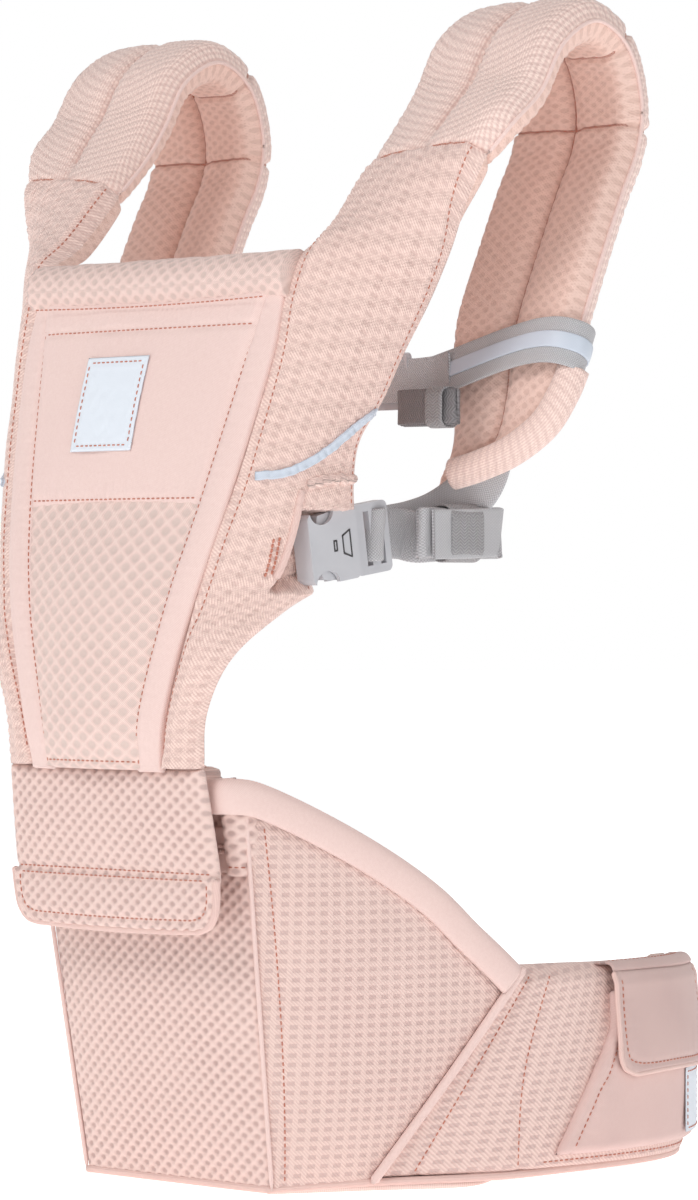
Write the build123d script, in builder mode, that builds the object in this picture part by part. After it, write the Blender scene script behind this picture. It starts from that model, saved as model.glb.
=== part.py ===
"""Soft structured baby carrier with a built-in hip seat.

Frame: +Z up, -Y to the front (away from the wearer), +X to the wearer's left.
The origin is on the face that the hip seat stands on, midway across the seat.
All sizes are in millimetres.
"""

import os

from build123d import *

os.makedirs("parts", exist_ok=True)

# ---------------------------------------------------------------- driving dimensions
# hip seat
SEAT_HEIGHT = 198.0
SEAT_FRONT_LOW_Y = -54.0
SEAT_FRONT_HIGH_Y = -82.0
SEAT_FRONT_LOW_HALF = 65.0
SEAT_FRONT_HIGH_HALF = 75.0
SEAT_REAR_Y = 62.0
SEAT_REAR_HALF = 122.0
COVER = 3.0
SEAM = 0.1
BACK_PAD = 15.0
EDGE_BAND = 17.0

# waist belt
BELT_HEIGHT = 105.0
BELT_LOW = 6.0
BELT_HALF_WIDTH = 130.0
BELT_REAR_Y = 237.0
BELT_END_X = 76.0
WAIST_CENTRE_Y = 140.0
WAIST_HALF_X = 110.0
WAIST_HALF_Y = 79.0
WAIST_BUCKLE_Y = 216.0

# pouch on the belt's left wing
POUCH_WALL = 2.0
POUCH_ROOM = 9.0
POUCH_FRONT_Y = 110.0
POUCH_REAR_Y = 205.0
POUCH_LOW = 14.0
POUCH_HIGH = 92.0
POUCH_BEND = 74.0
POUCH_SLANT = 34.0
POUCH_FLAP_LOW = 52.0
POUCH_FLAP_HIGH = 101.0

# body panel: how far forward its outer face stands at each height
PANEL_LOW = 204.0
PANEL_TOP = 426.0
PANEL_FACE = [(-107, 204), (-109, 230), (-103.5, 283), (-92, 332), (-74, 400), (-66, 430)]
PANEL_SKIN = 3.0
PANEL_PADDING = 8.0
POCKET_LOW = 332.0
STRIP_OUTER = [(45, 204), (50, 230), (65, 283), (77, 332), (87, 395), (87, 426)]
STRIP_INNER = [(31, 204), (33, 230), (47, 283), (59, 332), (72, 405), (76, 426)]
NECK_ROLL_RADIUS = 11.5
NECK_ROLL_HALF = 88.0

# shoulder straps
STRAP_INNER_X = 91.0
STRAP_OUTER_X = 171.0
STRAP_THICKNESS = 22.0
STRAP_FOAM = 14.0
WEBBING = 25.0
WEB = 2.0

# cover flap and zip in front of the seat
FLAP_HALF = 70.0
FLAP_THICKNESS = 4.0
FLAP_TOP = 201.5
FLAP_LOW = 127.0
ZIP_HALF = 62.0
ZIP_Z = 165.0

# buckles: width, housing length and thickness of each size
SHOULDER_BUCKLE = (34.0, 32.0, 11.0)
CHEST_BUCKLE = (28.0, 28.0, 9.0)
WAIST_BUCKLE = (50.0, 40.0, 13.0)
LATCH_GAP = 0.4

# the housing's finger cut-outs, as shares of its length and in depth, and the grooves of its faces
THUMB_AT = 0.3
THUMB_REACH = 0.24
THUMB_DEPTH = 6.0
FACE_GROOVE = 0.7
GROOVE_WIDTH = 0.9
# where the chest strap runs
CHEST_X = 32.0
CHEST_Y = 20.0
CHEST_Z = 389.0


def finish(name, part):
    """Labels one finished piece and writes it."""
    part.label = name
    export_step(part, f"parts/{name}.step")


def common(first, second):
    """What two parts share."""
    with BuildPart() as shared:
        add(first)
        add(second, mode=Mode.INTERSECT)
    return shared.part


def without(first, *others):
    """The first part with the others cut away."""
    with BuildPart() as rest:
        add(first)
        for other in others:
            add(other, mode=Mode.SUBTRACT)
    return rest.part


def largest(part):
    """The part's biggest solid, without the slivers that a cut leaves."""
    with BuildPart() as main:
        add(part.solids().sort_by(SortBy.VOLUME)[-1])
    return main.part


def mirrored(part):
    """The same piece on the other side of the carrier."""
    with BuildPart() as other:
        mirror(part, about=Plane.YZ, mode=Mode.ADD)
    return other.part


def side_extrusion(points, half_width):
    """A closed outline in the side view (Y, Z), carried across to both sides."""
    with BuildPart() as bar:
        with BuildSketch(Plane.YZ):
            with BuildLine():
                Polyline(*points, close=True)
            make_face()
        extrude(amount=half_width, both=True)
    return bar.part


def front_extrusion(points, near_y, far_y):
    """A closed outline in the front view (X, Z), carried from near_y back to far_y."""
    with BuildPart() as bar:
        with BuildSketch(Plane.XZ.offset(-near_y)):
            with BuildLine():
                Polyline(*points, close=True)
            make_face()
        extrude(amount=near_y - far_y)
    return bar.part


# ---------------------------------------------------------------- hip seat
# side view of the seat's upper edge, from the front lip down to the belt
SEAT_EDGE = [(-82, 198), (-75, 196), (-39, 181.5), (-2, 163), (25, 145), (43, 127), (62, 105)]


def seat_block(inset, back):
    """The seat's volume with every wall moved in by inset, and the belly side moved in by back."""
    low, high = inset, SEAT_HEIGHT + 8.0
    outlines = []
    for z, front_y, front_half in (
        (0.0, SEAT_FRONT_LOW_Y, SEAT_FRONT_LOW_HALF),
        (high, SEAT_FRONT_HIGH_Y - 1.1, SEAT_FRONT_HIGH_HALF + 0.4),
    ):
        outlines.append((z, front_y + inset, front_half - inset))
    with BuildPart() as block:
        for z, front_y, front_half in outlines:
            with BuildSketch(Plane.XY.offset(z)):
                with BuildLine():
                    Polyline(
                        (-front_half, front_y),
                        (front_half, front_y),
                        (SEAT_REAR_HALF - inset, SEAT_REAR_Y),
                        (-SEAT_REAR_HALF + inset, SEAT_REAR_Y),
                        close=True,
                    )
                make_face()
        loft()
        with BuildSketch(Plane.YZ):
            with BuildLine():
                edge = [(y, z - inset) for y, z in SEAT_EDGE]
                Polyline((-90, low), (-90, edge[0][1]), *edge, (70, edge[-1][1]), (70, low), close=True)
            make_face()
        extrude(amount=200, both=True, mode=Mode.INTERSECT)
        with BuildSketch(Plane.XY):
            with Locations((0, WAIST_CENTRE_Y)):
                Ellipse(WAIST_HALF_X + back, WAIST_HALF_Y + back)
        extrude(amount=high, mode=Mode.SUBTRACT)
    return block.part


seat_outside = seat_block(0.0, 0.0)
seat_foam_core = seat_block(COVER, BACK_PAD)
seat_shell = without(seat_outside, seat_foam_core)

with BuildPart() as waist_round:
    with BuildSketch(Plane.XY):
        with Locations((0, WAIST_CENTRE_Y)):
            Ellipse(WAIST_HALF_X + BACK_PAD, WAIST_HALF_Y + BACK_PAD)
    extrude(amount=SEAT_HEIGHT)

front_lean = (SEAT_FRONT_LOW_Y - SEAT_FRONT_HIGH_Y) / SEAT_HEIGHT
front_slab = side_extrusion(
    [
        (-100, 0),
        (SEAT_FRONT_LOW_Y + COVER + SEAM, 0),
        (SEAT_FRONT_LOW_Y + COVER + SEAM - front_lean * 210, 210),
        (-100, 210),
    ],
    200,
)
base_slab = side_extrusion([(-100, 0), (80, 0), (80, COVER), (-100, COVER)], 200)
under_deck = [(-90, SEAT_EDGE[0][1]), *SEAT_EDGE, (80, BELT_HEIGHT)]
under_deck = [(y, z - COVER - SEAM) for y, z in under_deck]
deck_slab = side_extrusion(under_deck + [(80, 230), (-90, 230)], 200)
under_band = [(y, z - EDGE_BAND) for y, z in under_deck]
band_slab = side_extrusion(under_band + [(80, 230), (-90, 230)], 200)

seat_back_pad = common(seat_shell, waist_round.part)
walls = without(seat_shell, waist_round.part)
seat_base_cover = common(walls, base_slab)
walls = without(walls, base_slab)
seat_front_cover = common(walls, front_slab)
walls = without(walls, front_slab)
seat_deck_cover = common(walls, deck_slab)
side_walls = without(walls, deck_slab)

right_half = Box(300, 600, 600, align=(Align.MAX, Align.CENTER, Align.CENTER), mode=Mode.PRIVATE)
left_wall = without(side_walls, right_half)
seat_left_band = largest(common(left_wall, band_slab))
seat_left_cover = largest(without(left_wall, band_slab))

finish("seat_foam_core", seat_foam_core)
finish("seat_back_pad", seat_back_pad)
finish("seat_base_cover", seat_base_cover)
finish("seat_front_cover", seat_front_cover)
finish("seat_deck_cover", seat_deck_cover)
finish("seat_left_cover", seat_left_cover)
finish("seat_right_cover", mirrored(seat_left_cover))
finish("seat_left_band", seat_left_band)
finish("seat_right_band", mirrored(seat_left_band))


# ---------------------------------------------------------------- waist belt
def belt_plan(grow):
    """Half of the belt's outer plan, on the left side, moved out by grow."""
    with BuildSketch() as plan:
        with BuildLine():
            outer = Spline(
                (SEAT_REAR_HALF + grow, SEAT_REAR_Y + 0.4),
                (BELT_HALF_WIDTH + grow, 112),
                (117 + 0.9 * grow, 178 + 0.4 * grow),
                (72 + 0.5 * grow, 222 + 0.85 * grow),
                (0, BELT_REAR_Y + grow),
                tangents=[(0.3, 1), (-1, 0)],
            )
            Polyline(outer @ 1, (0, SEAT_REAR_Y + 0.4), outer @ 0)
        make_face()
    return plan.sketch


with BuildPart() as belt_outside:
    with BuildSketch(Plane.XY.offset(BELT_LOW)):
        add(belt_plan(0.0))
    extrude(amount=BELT_HEIGHT - BELT_LOW)
with BuildPart() as belt_left_wing:
    add(belt_outside.part)
    with BuildSketch(Plane.XY):
        with Locations((0, WAIST_CENTRE_Y)):
            Ellipse(WAIST_HALF_X, WAIST_HALF_Y)
    extrude(amount=300, mode=Mode.SUBTRACT)
    with Locations((BELT_END_X / 2, BELT_REAR_Y, 0)):
        Box(BELT_END_X, 80, 300, mode=Mode.SUBTRACT)
finish("belt_left_wing", belt_left_wing.part)
finish("belt_right_wing", mirrored(belt_left_wing.part))


def pouch_ring(near, far, low, high, front_y=POUCH_FRONT_Y, rear_y=POUCH_REAR_Y, slant=0.0):
    """A curved slab round the left wing, from near to far outside it. Its front edge slants forward."""
    with BuildPart() as ring:
        with BuildSketch(Plane.XY.offset(low)):
            add(belt_plan(far))
            add(belt_plan(near), mode=Mode.SUBTRACT)
        extrude(amount=high - low)
        with BuildSketch(Plane.YZ):
            with BuildLine():
                Polyline(
                    (front_y, high),
                    (front_y, POUCH_BEND),
                    (front_y - slant, low),
                    (rear_y, low),
                    (rear_y, high),
                    close=True,
                )
            make_face()
        extrude(amount=180, mode=Mode.INTERSECT)
    return ring.part


pouch_depth = 2 * POUCH_WALL + POUCH_ROOM
pouch_body = without(
    pouch_ring(0.4, 0.4 + pouch_depth, POUCH_LOW, POUCH_HIGH, slant=POUCH_SLANT),
    pouch_ring(
        0.4 + POUCH_WALL,
        0.4 + POUCH_WALL + POUCH_ROOM,
        POUCH_LOW + POUCH_WALL,
        POUCH_HIGH + 5,
        POUCH_FRONT_Y + POUCH_WALL,
        POUCH_REAR_Y - POUCH_WALL,
        POUCH_SLANT,
    ),
)
finish("pouch_body", pouch_body)
pouch_flap = pouch_ring(pouch_depth + 1.2, pouch_depth + 4.2, POUCH_FLAP_LOW, POUCH_FLAP_HIGH)
finish("pouch_flap", pouch_flap)
pouch_flap_fastener = pouch_ring(0.4 + pouch_depth, pouch_depth + 0.9, 58, 76, 135, 180)
finish("pouch_fastener", pouch_flap_fastener)


# ---------------------------------------------------------------- buckles
def buckle(plane, sizes, name):
    """Side-release buckle: the plane's X is the way the insert comes out and its Z faces outwards."""
    width, length, thick = sizes
    half = width / 2
    wall = 2.2
    window = (0.22 * length, 0.70 * length)
    root = length + LATCH_GAP
    frame_end = length + 24.0
    with BuildPart() as housing:
        with BuildSketch(plane):
            with Locations((length / 2, 0)):
                RectangleRounded(length, width, 3.5)
        extrude(amount=thick / 2, both=True)
        with BuildSketch(plane):
            with Locations((length / 2 + 4, 0)):
                Rectangle(length, width - 2 * wall)
        extrude(amount=thick / 2 - wall, both=True, mode=Mode.SUBTRACT)
        with BuildSketch(plane):
            with Locations(((window[0] + window[1]) / 2, 0)):
                Rectangle(window[1] - window[0], width + 4)
        extrude(amount=thick / 2 - wall, both=True, mode=Mode.SUBTRACT)
        # rounded cut-outs that bare the two latch arms to the fingers
        with BuildSketch(plane):
            with Locations((THUMB_AT * length, half), (THUMB_AT * length, -half)):
                Ellipse(THUMB_REACH * length, THUMB_DEPTH)
        extrude(amount=thick, both=True, mode=Mode.SUBTRACT)
        # grooves round a small bar and a tapered panel on both faces
        for face in (1, -1):
            floor = plane.offset(face * (thick / 2 - FACE_GROOVE))
            for centre, long, near, far in ((0.52, 2.6, 5.6, 5.6), (0.76, 6.0, 9.0, 14.0)):
                with BuildSketch(floor):
                    for rim, mode in ((0.0, Mode.ADD), (GROOVE_WIDTH, Mode.SUBTRACT)):
                        start, stop = centre * length - long / 2 + rim, centre * length + long / 2 - rim
                        low, high = near / 2 - rim, far / 2 - rim
                        with BuildLine():
                            Polyline((start, -low), (stop, -high), (stop, high), (start, low), close=True)
                        make_face(mode=mode)
                extrude(amount=face * 2 * FACE_GROOVE, mode=Mode.SUBTRACT)
    finish(f"{name}_buckle_housing", housing.part)
    plate = thick - 2 * wall - 1.2
    with BuildPart() as insert:
        with BuildSketch(plane):
            with Locations(((root + frame_end) / 2, 0)):
                RectangleRounded(frame_end - root, width, 3)
            with Locations((root + 9, 0), (root + 18, 0)):
                Rectangle(3.6, width - 8, mode=Mode.SUBTRACT)
            with Locations((root / 2 + 3, 0)):
                Rectangle(root - 5, 5)
        extrude(amount=plate / 2, both=True)
    finish(f"{name}_buckle_insert", insert.part)
    for side, word in ((1, "upper"), (-1, "lower")):
        inner = side * (half - 9.0)
        outer = side * (half - wall - 0.4)
        tip = side * (half - 0.3)
        with BuildPart() as arm:
            with BuildSketch(plane):
                with BuildLine():
                    Polyline(
                        (root - LATCH_GAP, inner),
                        (root - LATCH_GAP, outer),
                        (window[1] - 1.0, outer),
                        (window[1] - 1.5, tip),
                        (window[0] + 2.0, tip - side * 1.5),
                        (window[0] + 1.0, inner + side * 2.5),
                        (window[1], inner + side * 2.5),
                        close=True,
                    )
                make_face()
            extrude(amount=plate / 2, both=True)
        finish(f"{name}_latch_arm_{word}", arm.part)


shoulder_tilt = 0.15
left_plane = Plane(origin=(98, -66, 306), x_dir=(0, 1, shoulder_tilt), z_dir=(1, 0, 0))
right_plane = Plane(origin=(-98, -66, 306), x_dir=(0, 1, shoulder_tilt), z_dir=(-1, 0, 0))
chest_plane = Plane(origin=(CHEST_X, CHEST_Y, CHEST_Z), x_dir=(1, 0, 0), z_dir=(0, -1, 0))
waist_plane = Plane(origin=(-32, WAIST_BUCKLE_Y, 56), x_dir=(1, 0, 0), z_dir=(0, 1, 0))
buckle(left_plane, SHOULDER_BUCKLE, "left")
buckle(right_plane, SHOULDER_BUCKLE, "right")
buckle(chest_plane, CHEST_BUCKLE, "chest")
buckle(waist_plane, WAIST_BUCKLE, "waist")


# ---------------------------------------------------------------- body panel
def panel_layer(front, back):
    """The panel's side profile between two depths behind its outer face, across the full width."""
    with BuildPart() as layer:
        with BuildSketch(Plane.YZ):
            with BuildLine():
                near = Spline(*[(y + front, z) for y, z in PANEL_FACE])
                far = Spline(*[(y + back, z) for y, z in PANEL_FACE])
                Line(near @ 0, far @ 0)
                Line(near @ 1, far @ 1)
            make_face()
        extrude(amount=120, both=True)
    return layer.part


def panel_outline(right, left, low, high):
    """Front view of a panel piece from a left contour and a right contour, cut level at low and high."""
    sheet = front_extrusion(list(right) + list(reversed(left)), 0, -160)
    band = Box(400, 400, high - low, mode=Mode.PRIVATE)
    return common(sheet, Pos(0, -80, (low + high) / 2) * band)


def flipped(contour):
    return [(-x, z) for x, z in contour]


skin = panel_layer(0.0, PANEL_SKIN)
padding = panel_layer(PANEL_SKIN, PANEL_SKIN + PANEL_PADDING)
proud = panel_layer(-2.0, 0.0)
label_layer = panel_layer(-3.0, -2.0)
panel_liner = common(padding, panel_outline(STRIP_OUTER, flipped(STRIP_OUTER), PANEL_LOW, PANEL_TOP - 2))
centre = panel_outline(STRIP_INNER, flipped(STRIP_INNER), PANEL_LOW, POCKET_LOW)
panel_mesh = common(skin, centre)
pocket_area = panel_outline(STRIP_INNER, flipped(STRIP_INNER), POCKET_LOW, PANEL_TOP - 2)
stowed_hood = common(skin, pocket_area)
hood_pocket = common(proud, pocket_area)
left_strip = common(skin, panel_outline(STRIP_OUTER, STRIP_INNER, PANEL_LOW, PANEL_TOP - 2))
label_patch = common(label_layer, front_extrusion([(-37, 357), (4, 357), (4, 404), (-37, 404)], 0, -160))
finish("panel_liner", panel_liner)
finish("panel_mesh", panel_mesh)
finish("stowed_hood", stowed_hood)
finish("hood_pocket", hood_pocket)
finish("panel_left_strip", left_strip)
finish("panel_right_strip", mirrored(left_strip))
finish("label_patch", label_patch)

with BuildPart() as neck_roll:
    with BuildSketch(Plane.YZ):
        with Locations((-54, 438.5)):
            Circle(NECK_ROLL_RADIUS)
    extrude(amount=NECK_ROLL_HALF, both=True)
finish("neck_roll", neck_roll.part)

# the wing runs from the strip's outer edge round to the wearer's side; each row is a height
# with the outer face's front edge, its bend and its rear edge in plan
WING_SECTIONS = [
    (232, (54, -104), (62, -101), (70, -97)),
    (262, (63, -100), (74, -93), (84, -82)),
    (292, (70, -96), (88, -86), (101, -60)),
    (336, (80, -87), (97, -72), (106, -40)),
    (371, (87, -78), (103, -62), (113, -30)),
    (400, (90, -70), (106, -52), (122, -20)),
    (430, (90.5, -62), (113, -38), (135, -12)),
    (452, (90.5, -56), (118, -30), (143, -9)),
]
WING_THICKNESS = 9.0
WING_FACING = Vector(0.62, -0.78)


def wing():
    """The left wing as a thick sheet, lofted through its sections."""
    inward = Vector(-WING_FACING.X, -WING_FACING.Y) * WING_THICKNESS
    with BuildPart() as sheet:
        for z, *outer in WING_SECTIONS:
            inner = [(x + inward.X, y + inward.Y) for x, y in reversed(outer)]
            with BuildSketch(Plane.XY.offset(z)):
                with BuildLine():
                    Polyline(*outer, *inner, close=True)
                make_face()
        loft(ruled=True)
    return sheet.part


with BuildPart() as buckle_room:
    with BuildSketch(left_plane):
        with Locations((16, 0)):
            Rectangle(36, SHOULDER_BUCKLE[0] + 1.6)
    extrude(amount=SHOULDER_BUCKLE[2] / 2 + 0.6, both=True)
liner_room = panel_layer(-0.5, PANEL_SKIN + PANEL_PADDING + 0.5)
liner_edge = [(x + 0.5, z) for x, z in STRIP_OUTER]
liner_side = common(liner_room, panel_outline(liner_edge, flipped(STRIP_OUTER), 200, 427))
roll_room = Pos(0, -54, 438.5) * Box(2 * NECK_ROLL_HALF + 0.8, 30, 24)
wing_left = without(wing(), buckle_room.part, liner_side, roll_room)
finish("wing_left", wing_left)
finish("wing_right", mirrored(wing_left))


# ---------------------------------------------------------------- shoulder straps
def strap_band(thickness, side_gap):
    """The strap as a curved band in the side view, carried across its width."""
    with BuildPart() as band:
        with BuildSketch(Plane.YZ.offset(STRAP_INNER_X + side_gap)):
            with BuildLine():
                rise = Line((-34, 446), (22, 524))
                crest = ThreePointArc(rise @ 1, (60, 559), (91, 512))
                fall = Line(crest @ 1, (50, 418))
                ThreePointArc(fall @ 1, (35, 380), (29, 346))
            trace(line_width=thickness)
        extrude(amount=STRAP_OUTER_X - STRAP_INNER_X - 2 * side_gap)
    return band.part


# the strap's root narrows to the wing, and its lower end narrows to the webbing
root_trim = front_extrusion([(141, 430), (153, 472), (161, 497), (172, 519), (200, 519), (200, 430)], 24, -60)
TRIM_OUTLINE = [(172, 400), (168, 372), (152, 352), (134, 345), (134, 300), (200, 300), (200, 400)]
end_trim = front_extrusion(TRIM_OUTLINE, 100, 0)
tip_trim = front_extrusion([(90, 380), (100, 356), (104, 330), (80, 330), (80, 380)], 100, 0)
foam_room = Pos(131, 60, 480) * Box(68, 200, 170)
low_room = Pos(131, -40, 460) * Box(90, 60, 60)
strap_outside = without(strap_band(STRAP_THICKNESS, 0.0), root_trim, end_trim, tip_trim, wing_left, roll_room)
strap_foam = without(common(strap_band(STRAP_FOAM, 6.0), foam_room), low_room, Pos(-6, 0, 0) * root_trim)
strap_cover = without(strap_outside, strap_foam)
finish("left_strap_cover", strap_cover)
finish("right_strap_cover", mirrored(strap_cover))
finish("left_strap_foam", strap_foam)
finish("right_strap_foam", mirrored(strap_foam))

# webbing from the pad's end to the adjuster, and the surplus rolled in its keeper
with BuildPart() as strap_webbing:
    with Locations((116, 30, 339.5)):
        Box(WEBBING, WEB, 12)
with BuildPart() as webbing_roll:
    with BuildSketch(Plane.YZ.offset(106)):
        with Locations((24, 315)):
            SlotOverall(52, 24, rotation=8)
    extrude(amount=12)
    with Locations((112, 24, 315)):
        Box(7, 9, 60, mode=Mode.SUBTRACT)
with BuildPart() as webbing_keeper:
    with Locations((112, 24, 315)):
        Box(17, 14, 34)
    add(webbing_roll.part, mode=Mode.SUBTRACT)
    with Locations((112, 24, 315)):
        Box(7, 9, 60, mode=Mode.SUBTRACT)
for side, turn in (("left", False), ("right", True)):
    pieces = (("webbing", strap_webbing), ("webbing_roll", webbing_roll), ("keeper", webbing_keeper))
    for name, built in pieces:
        finish(f"{side}_{name}", mirrored(built.part) if turn else built.part)

# ---------------------------------------------------------------- chest strap
# a webbing loop round each pad, on the plane across the pad at that height
pad_plane = Plane(origin=(131, 41, 396), x_dir=(1, 0, 0), z_dir=(0, 0.4, 0.92))
CHEST_WEB_HALF = 10.0


def chest_loop():
    """The left end of the chest strap, looped round the outer edge of the shoulder pad."""
    with BuildPart() as loop:
        with BuildSketch(pad_plane):
            with Locations((-2, 0)):
                Rectangle(92, 29)
                Rectangle(92 - 2 * WEB, 29 - 2 * WEB, mode=Mode.SUBTRACT)
        extrude(amount=CHEST_WEB_HALF, both=True)
    return loop.part


left_loop = without(chest_loop(), strap_outside)
finish("chest_left_loop", left_loop)
finish("chest_right_loop", mirrored(left_loop))
with BuildPart() as chest_roll:
    with BuildSketch(Plane.XZ.offset(-8)):
        with Locations((96, 381)):
            SlotOverall(30, 14)
    extrude(amount=-8)
with BuildPart() as chest_far_web:
    with Locations(((CHEST_X - 0.4 - 82.5) / 2, CHEST_Y, CHEST_Z)):
        Box(CHEST_X - 0.4 + 82.5, WEB, 22)
finish("chest_roll", chest_roll.part)
finish("chest_webbing", chest_far_web.part)

# ---------------------------------------------------------------- rear of the belt
with BuildPart() as waist_left_web:
    with Locations((69, WAIST_BUCKLE_Y, 56)):
        Box(13.8, 2.5, 40)
with BuildPart() as waist_right_web:
    with Locations((-54, WAIST_BUCKLE_Y, 56)):
        Box(43.5, 2.5, 40)
finish("waist_left_webbing", waist_left_web.part)
finish("waist_right_webbing", waist_right_web.part)


# ---------------------------------------------------------------- cover flap and zip
def flap_slab(front, back):
    """The cover flap's side profile between two depths."""
    points = [(-101.5, FLAP_TOP), (-94.5, 154), (-92.5, FLAP_LOW)]
    return [(y + front, z) for y, z in points] + [(y + back, z) for y, z in reversed(points)]


cover_flap = side_extrusion(flap_slab(0.0, FLAP_THICKNESS), FLAP_HALF)
finish("cover_flap", cover_flap)


def wall_y(z):
    """Where the seat's front wall stands at height z."""
    return SEAT_FRONT_LOW_Y - front_lean * z


def zip_bar(low, high, near, far, half):
    """A strip lying on the seat's front wall, between two distances from it."""
    outline = [(wall_y(low) - near, low), (wall_y(high) - near, high)]
    outline += [(wall_y(high) - far, high), (wall_y(low) - far, low)]
    return side_extrusion(outline, half)


zip_tape = zip_bar(ZIP_Z - 13, ZIP_Z + 13, 0.1, 1.5, ZIP_HALF + 4)
zip_teeth = zip_bar(ZIP_Z - 3, ZIP_Z + 3, 1.5, 3.5, ZIP_HALF)
zip_slider = without(
    zip_bar(ZIP_Z - 9, ZIP_Z + 5, 1.9, 6.0, 5),
    zip_bar(ZIP_Z - 3.5, ZIP_Z + 3.5, 1.0, 3.9, 8),
)
finish("zip_tape", zip_tape)
finish("zip_teeth", zip_teeth)
finish("zip_slider", Pos(-ZIP_HALF + 8, 0, 0) * zip_slider)
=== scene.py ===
"""The looks of a soft baby carrier with a hip seat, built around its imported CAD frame.

Shapes are worked out in millimetres, in the frame's own axes, and become metres when a mesh is made.
Fabric is built as pads and strips: grids whose UV map, "cloth", is in millimetres along the cloth.
"""

import math
import bpy
import numpy as np
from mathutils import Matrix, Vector


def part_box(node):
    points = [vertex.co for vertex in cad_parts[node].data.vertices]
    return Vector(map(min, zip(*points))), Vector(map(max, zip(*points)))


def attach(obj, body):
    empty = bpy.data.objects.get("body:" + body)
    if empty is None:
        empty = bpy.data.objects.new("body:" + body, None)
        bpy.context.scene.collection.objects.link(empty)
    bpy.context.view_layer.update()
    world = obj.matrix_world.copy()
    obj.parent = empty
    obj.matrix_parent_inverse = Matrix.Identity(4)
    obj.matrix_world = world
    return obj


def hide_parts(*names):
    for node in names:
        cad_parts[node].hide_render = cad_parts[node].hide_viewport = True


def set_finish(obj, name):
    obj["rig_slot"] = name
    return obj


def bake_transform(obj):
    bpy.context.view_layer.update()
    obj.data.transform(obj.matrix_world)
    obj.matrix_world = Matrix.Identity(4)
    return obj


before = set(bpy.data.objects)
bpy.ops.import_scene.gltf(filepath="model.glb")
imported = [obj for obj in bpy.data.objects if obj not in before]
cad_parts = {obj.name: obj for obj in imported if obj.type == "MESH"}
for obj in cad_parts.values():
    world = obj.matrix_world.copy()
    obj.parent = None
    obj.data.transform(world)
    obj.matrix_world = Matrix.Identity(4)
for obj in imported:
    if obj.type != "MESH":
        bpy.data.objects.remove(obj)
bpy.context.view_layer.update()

MM = 0.001


def box(node):
    """The lowest and highest corner of a CAD node."""
    return [np.array(corner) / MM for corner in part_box(node)]


def low(node):
    return box(node)[0]


def high(node):
    return box(node)[1]


# -------- lines and grids


def unit(v):
    return v / np.maximum(np.linalg.norm(v, axis=-1, keepdims=True), 1e-9)


def smooth(edge0, edge1, x):
    t = np.clip((x - edge0) / (edge1 - edge0), 0, 1)
    return t * t * (3 - 2 * t)


def grid_of(*values):
    """A grid of points, from each point's x, y and z, spread over its rows and columns."""
    return np.stack(np.broadcast_arrays(*values), -1)


def sheet_axes(n, m):
    """-1 to 1 across a sheet, and 0 to 1 up it."""
    return np.linspace(-1, 1, n)[:, None], np.linspace(0, 1, m)[None]


def mirrored(grid, side):
    return np.array(grid, float) * [side, 1, 1]


def travelled(line):
    """The length of a line of points up to each of them."""
    return np.concatenate([[0], np.cumsum(np.linalg.norm(np.diff(line, axis=0), axis=1))])


def cloth_lengths(grid):
    """How far each point of a grid lies along its rows, and along its columns."""
    along, up = [np.cumsum(np.linalg.norm(np.diff(grid, axis=k), axis=2), axis=k) for k in (0, 1)]
    return np.pad(along, ((1, 0), (0, 0))), np.pad(up, ((0, 0), (1, 0)))


def curve(points, count=60):
    """`count` evenly spaced points on a smooth curve through a few points."""
    p = np.array(points, float)
    if len(p) > 2:
        ends = np.vstack([2 * p[0] - p[1], p, 2 * p[-1] - p[-2]])
        t = np.linspace(0, 1, 24, endpoint=False)[:, None]
        runs = []
        for a, b, c, d in zip(ends, ends[1:], ends[2:], ends[3:]):
            bend = (2 * a - 5 * b + 4 * c - d) * t**2 + (3 * b - a - 3 * c + d) * t**3
            runs.append(0.5 * (2 * b + (c - a) * t + bend))
        p = np.vstack(runs + [p[-1:]])
    at = travelled(p)
    want = np.linspace(0, at[-1], count)
    return np.stack([np.interp(want, at, p[:, k]) for k in range(p.shape[1])], 1)


def by_height(table):
    """A smooth function of height through (value, height) pairs."""
    line = curve(table, 200)
    return lambda z: np.interp(z, line[:, 1], line[:, 0])


def weights(have, want):
    """Turns `have` values along a line into `want` values on the smooth curve through them."""
    t = np.linspace(0, have - 1, want)
    i = np.minimum(t.astype(int), have - 2)
    f = t - i
    terms = (
        (-1, (-f + 2 * f**2 - f**3) / 2),
        (0, (2 - 5 * f**2 + 3 * f**3) / 2),
        (1, (f + 4 * f**2 - 3 * f**3) / 2),
        (2, (-(f**2) + f**3) / 2),
    )
    wide = np.zeros((want, have + 2))
    for step, value in terms:
        wide[np.arange(want), i + step + 1] += value
    matrix = wide[:, 1:-1].copy()
    matrix[:, 0] += 2 * wide[:, 0]
    matrix[:, 1] -= wide[:, 0]
    matrix[:, -1] += 2 * wide[:, -1]
    matrix[:, -2] -= wide[:, -1]
    return matrix


def refine(grid, n, m):
    return np.einsum("ia,abk,jb->ijk", weights(grid.shape[0], n), grid, weights(grid.shape[1], m))


def coons(bottom, top, left, right):
    """A grid stretched between four edges: bottom and top run left to right, the others upwards."""
    u = np.linspace(0, 1, len(bottom))[:, None, None]
    v = np.linspace(0, 1, len(left))[None, :, None]
    across = (1 - v) * bottom[:, None] + v * top[:, None]
    up = (1 - u) * left[None] + u * right[None]
    flat = (1 - v) * ((1 - u) * bottom[0] + u * bottom[-1]) + v * ((1 - u) * top[0] + u * top[-1])
    return across + up - flat


def grid_normals(grid):
    return unit(np.cross(np.gradient(grid, axis=0), np.gradient(grid, axis=1)))


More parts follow.
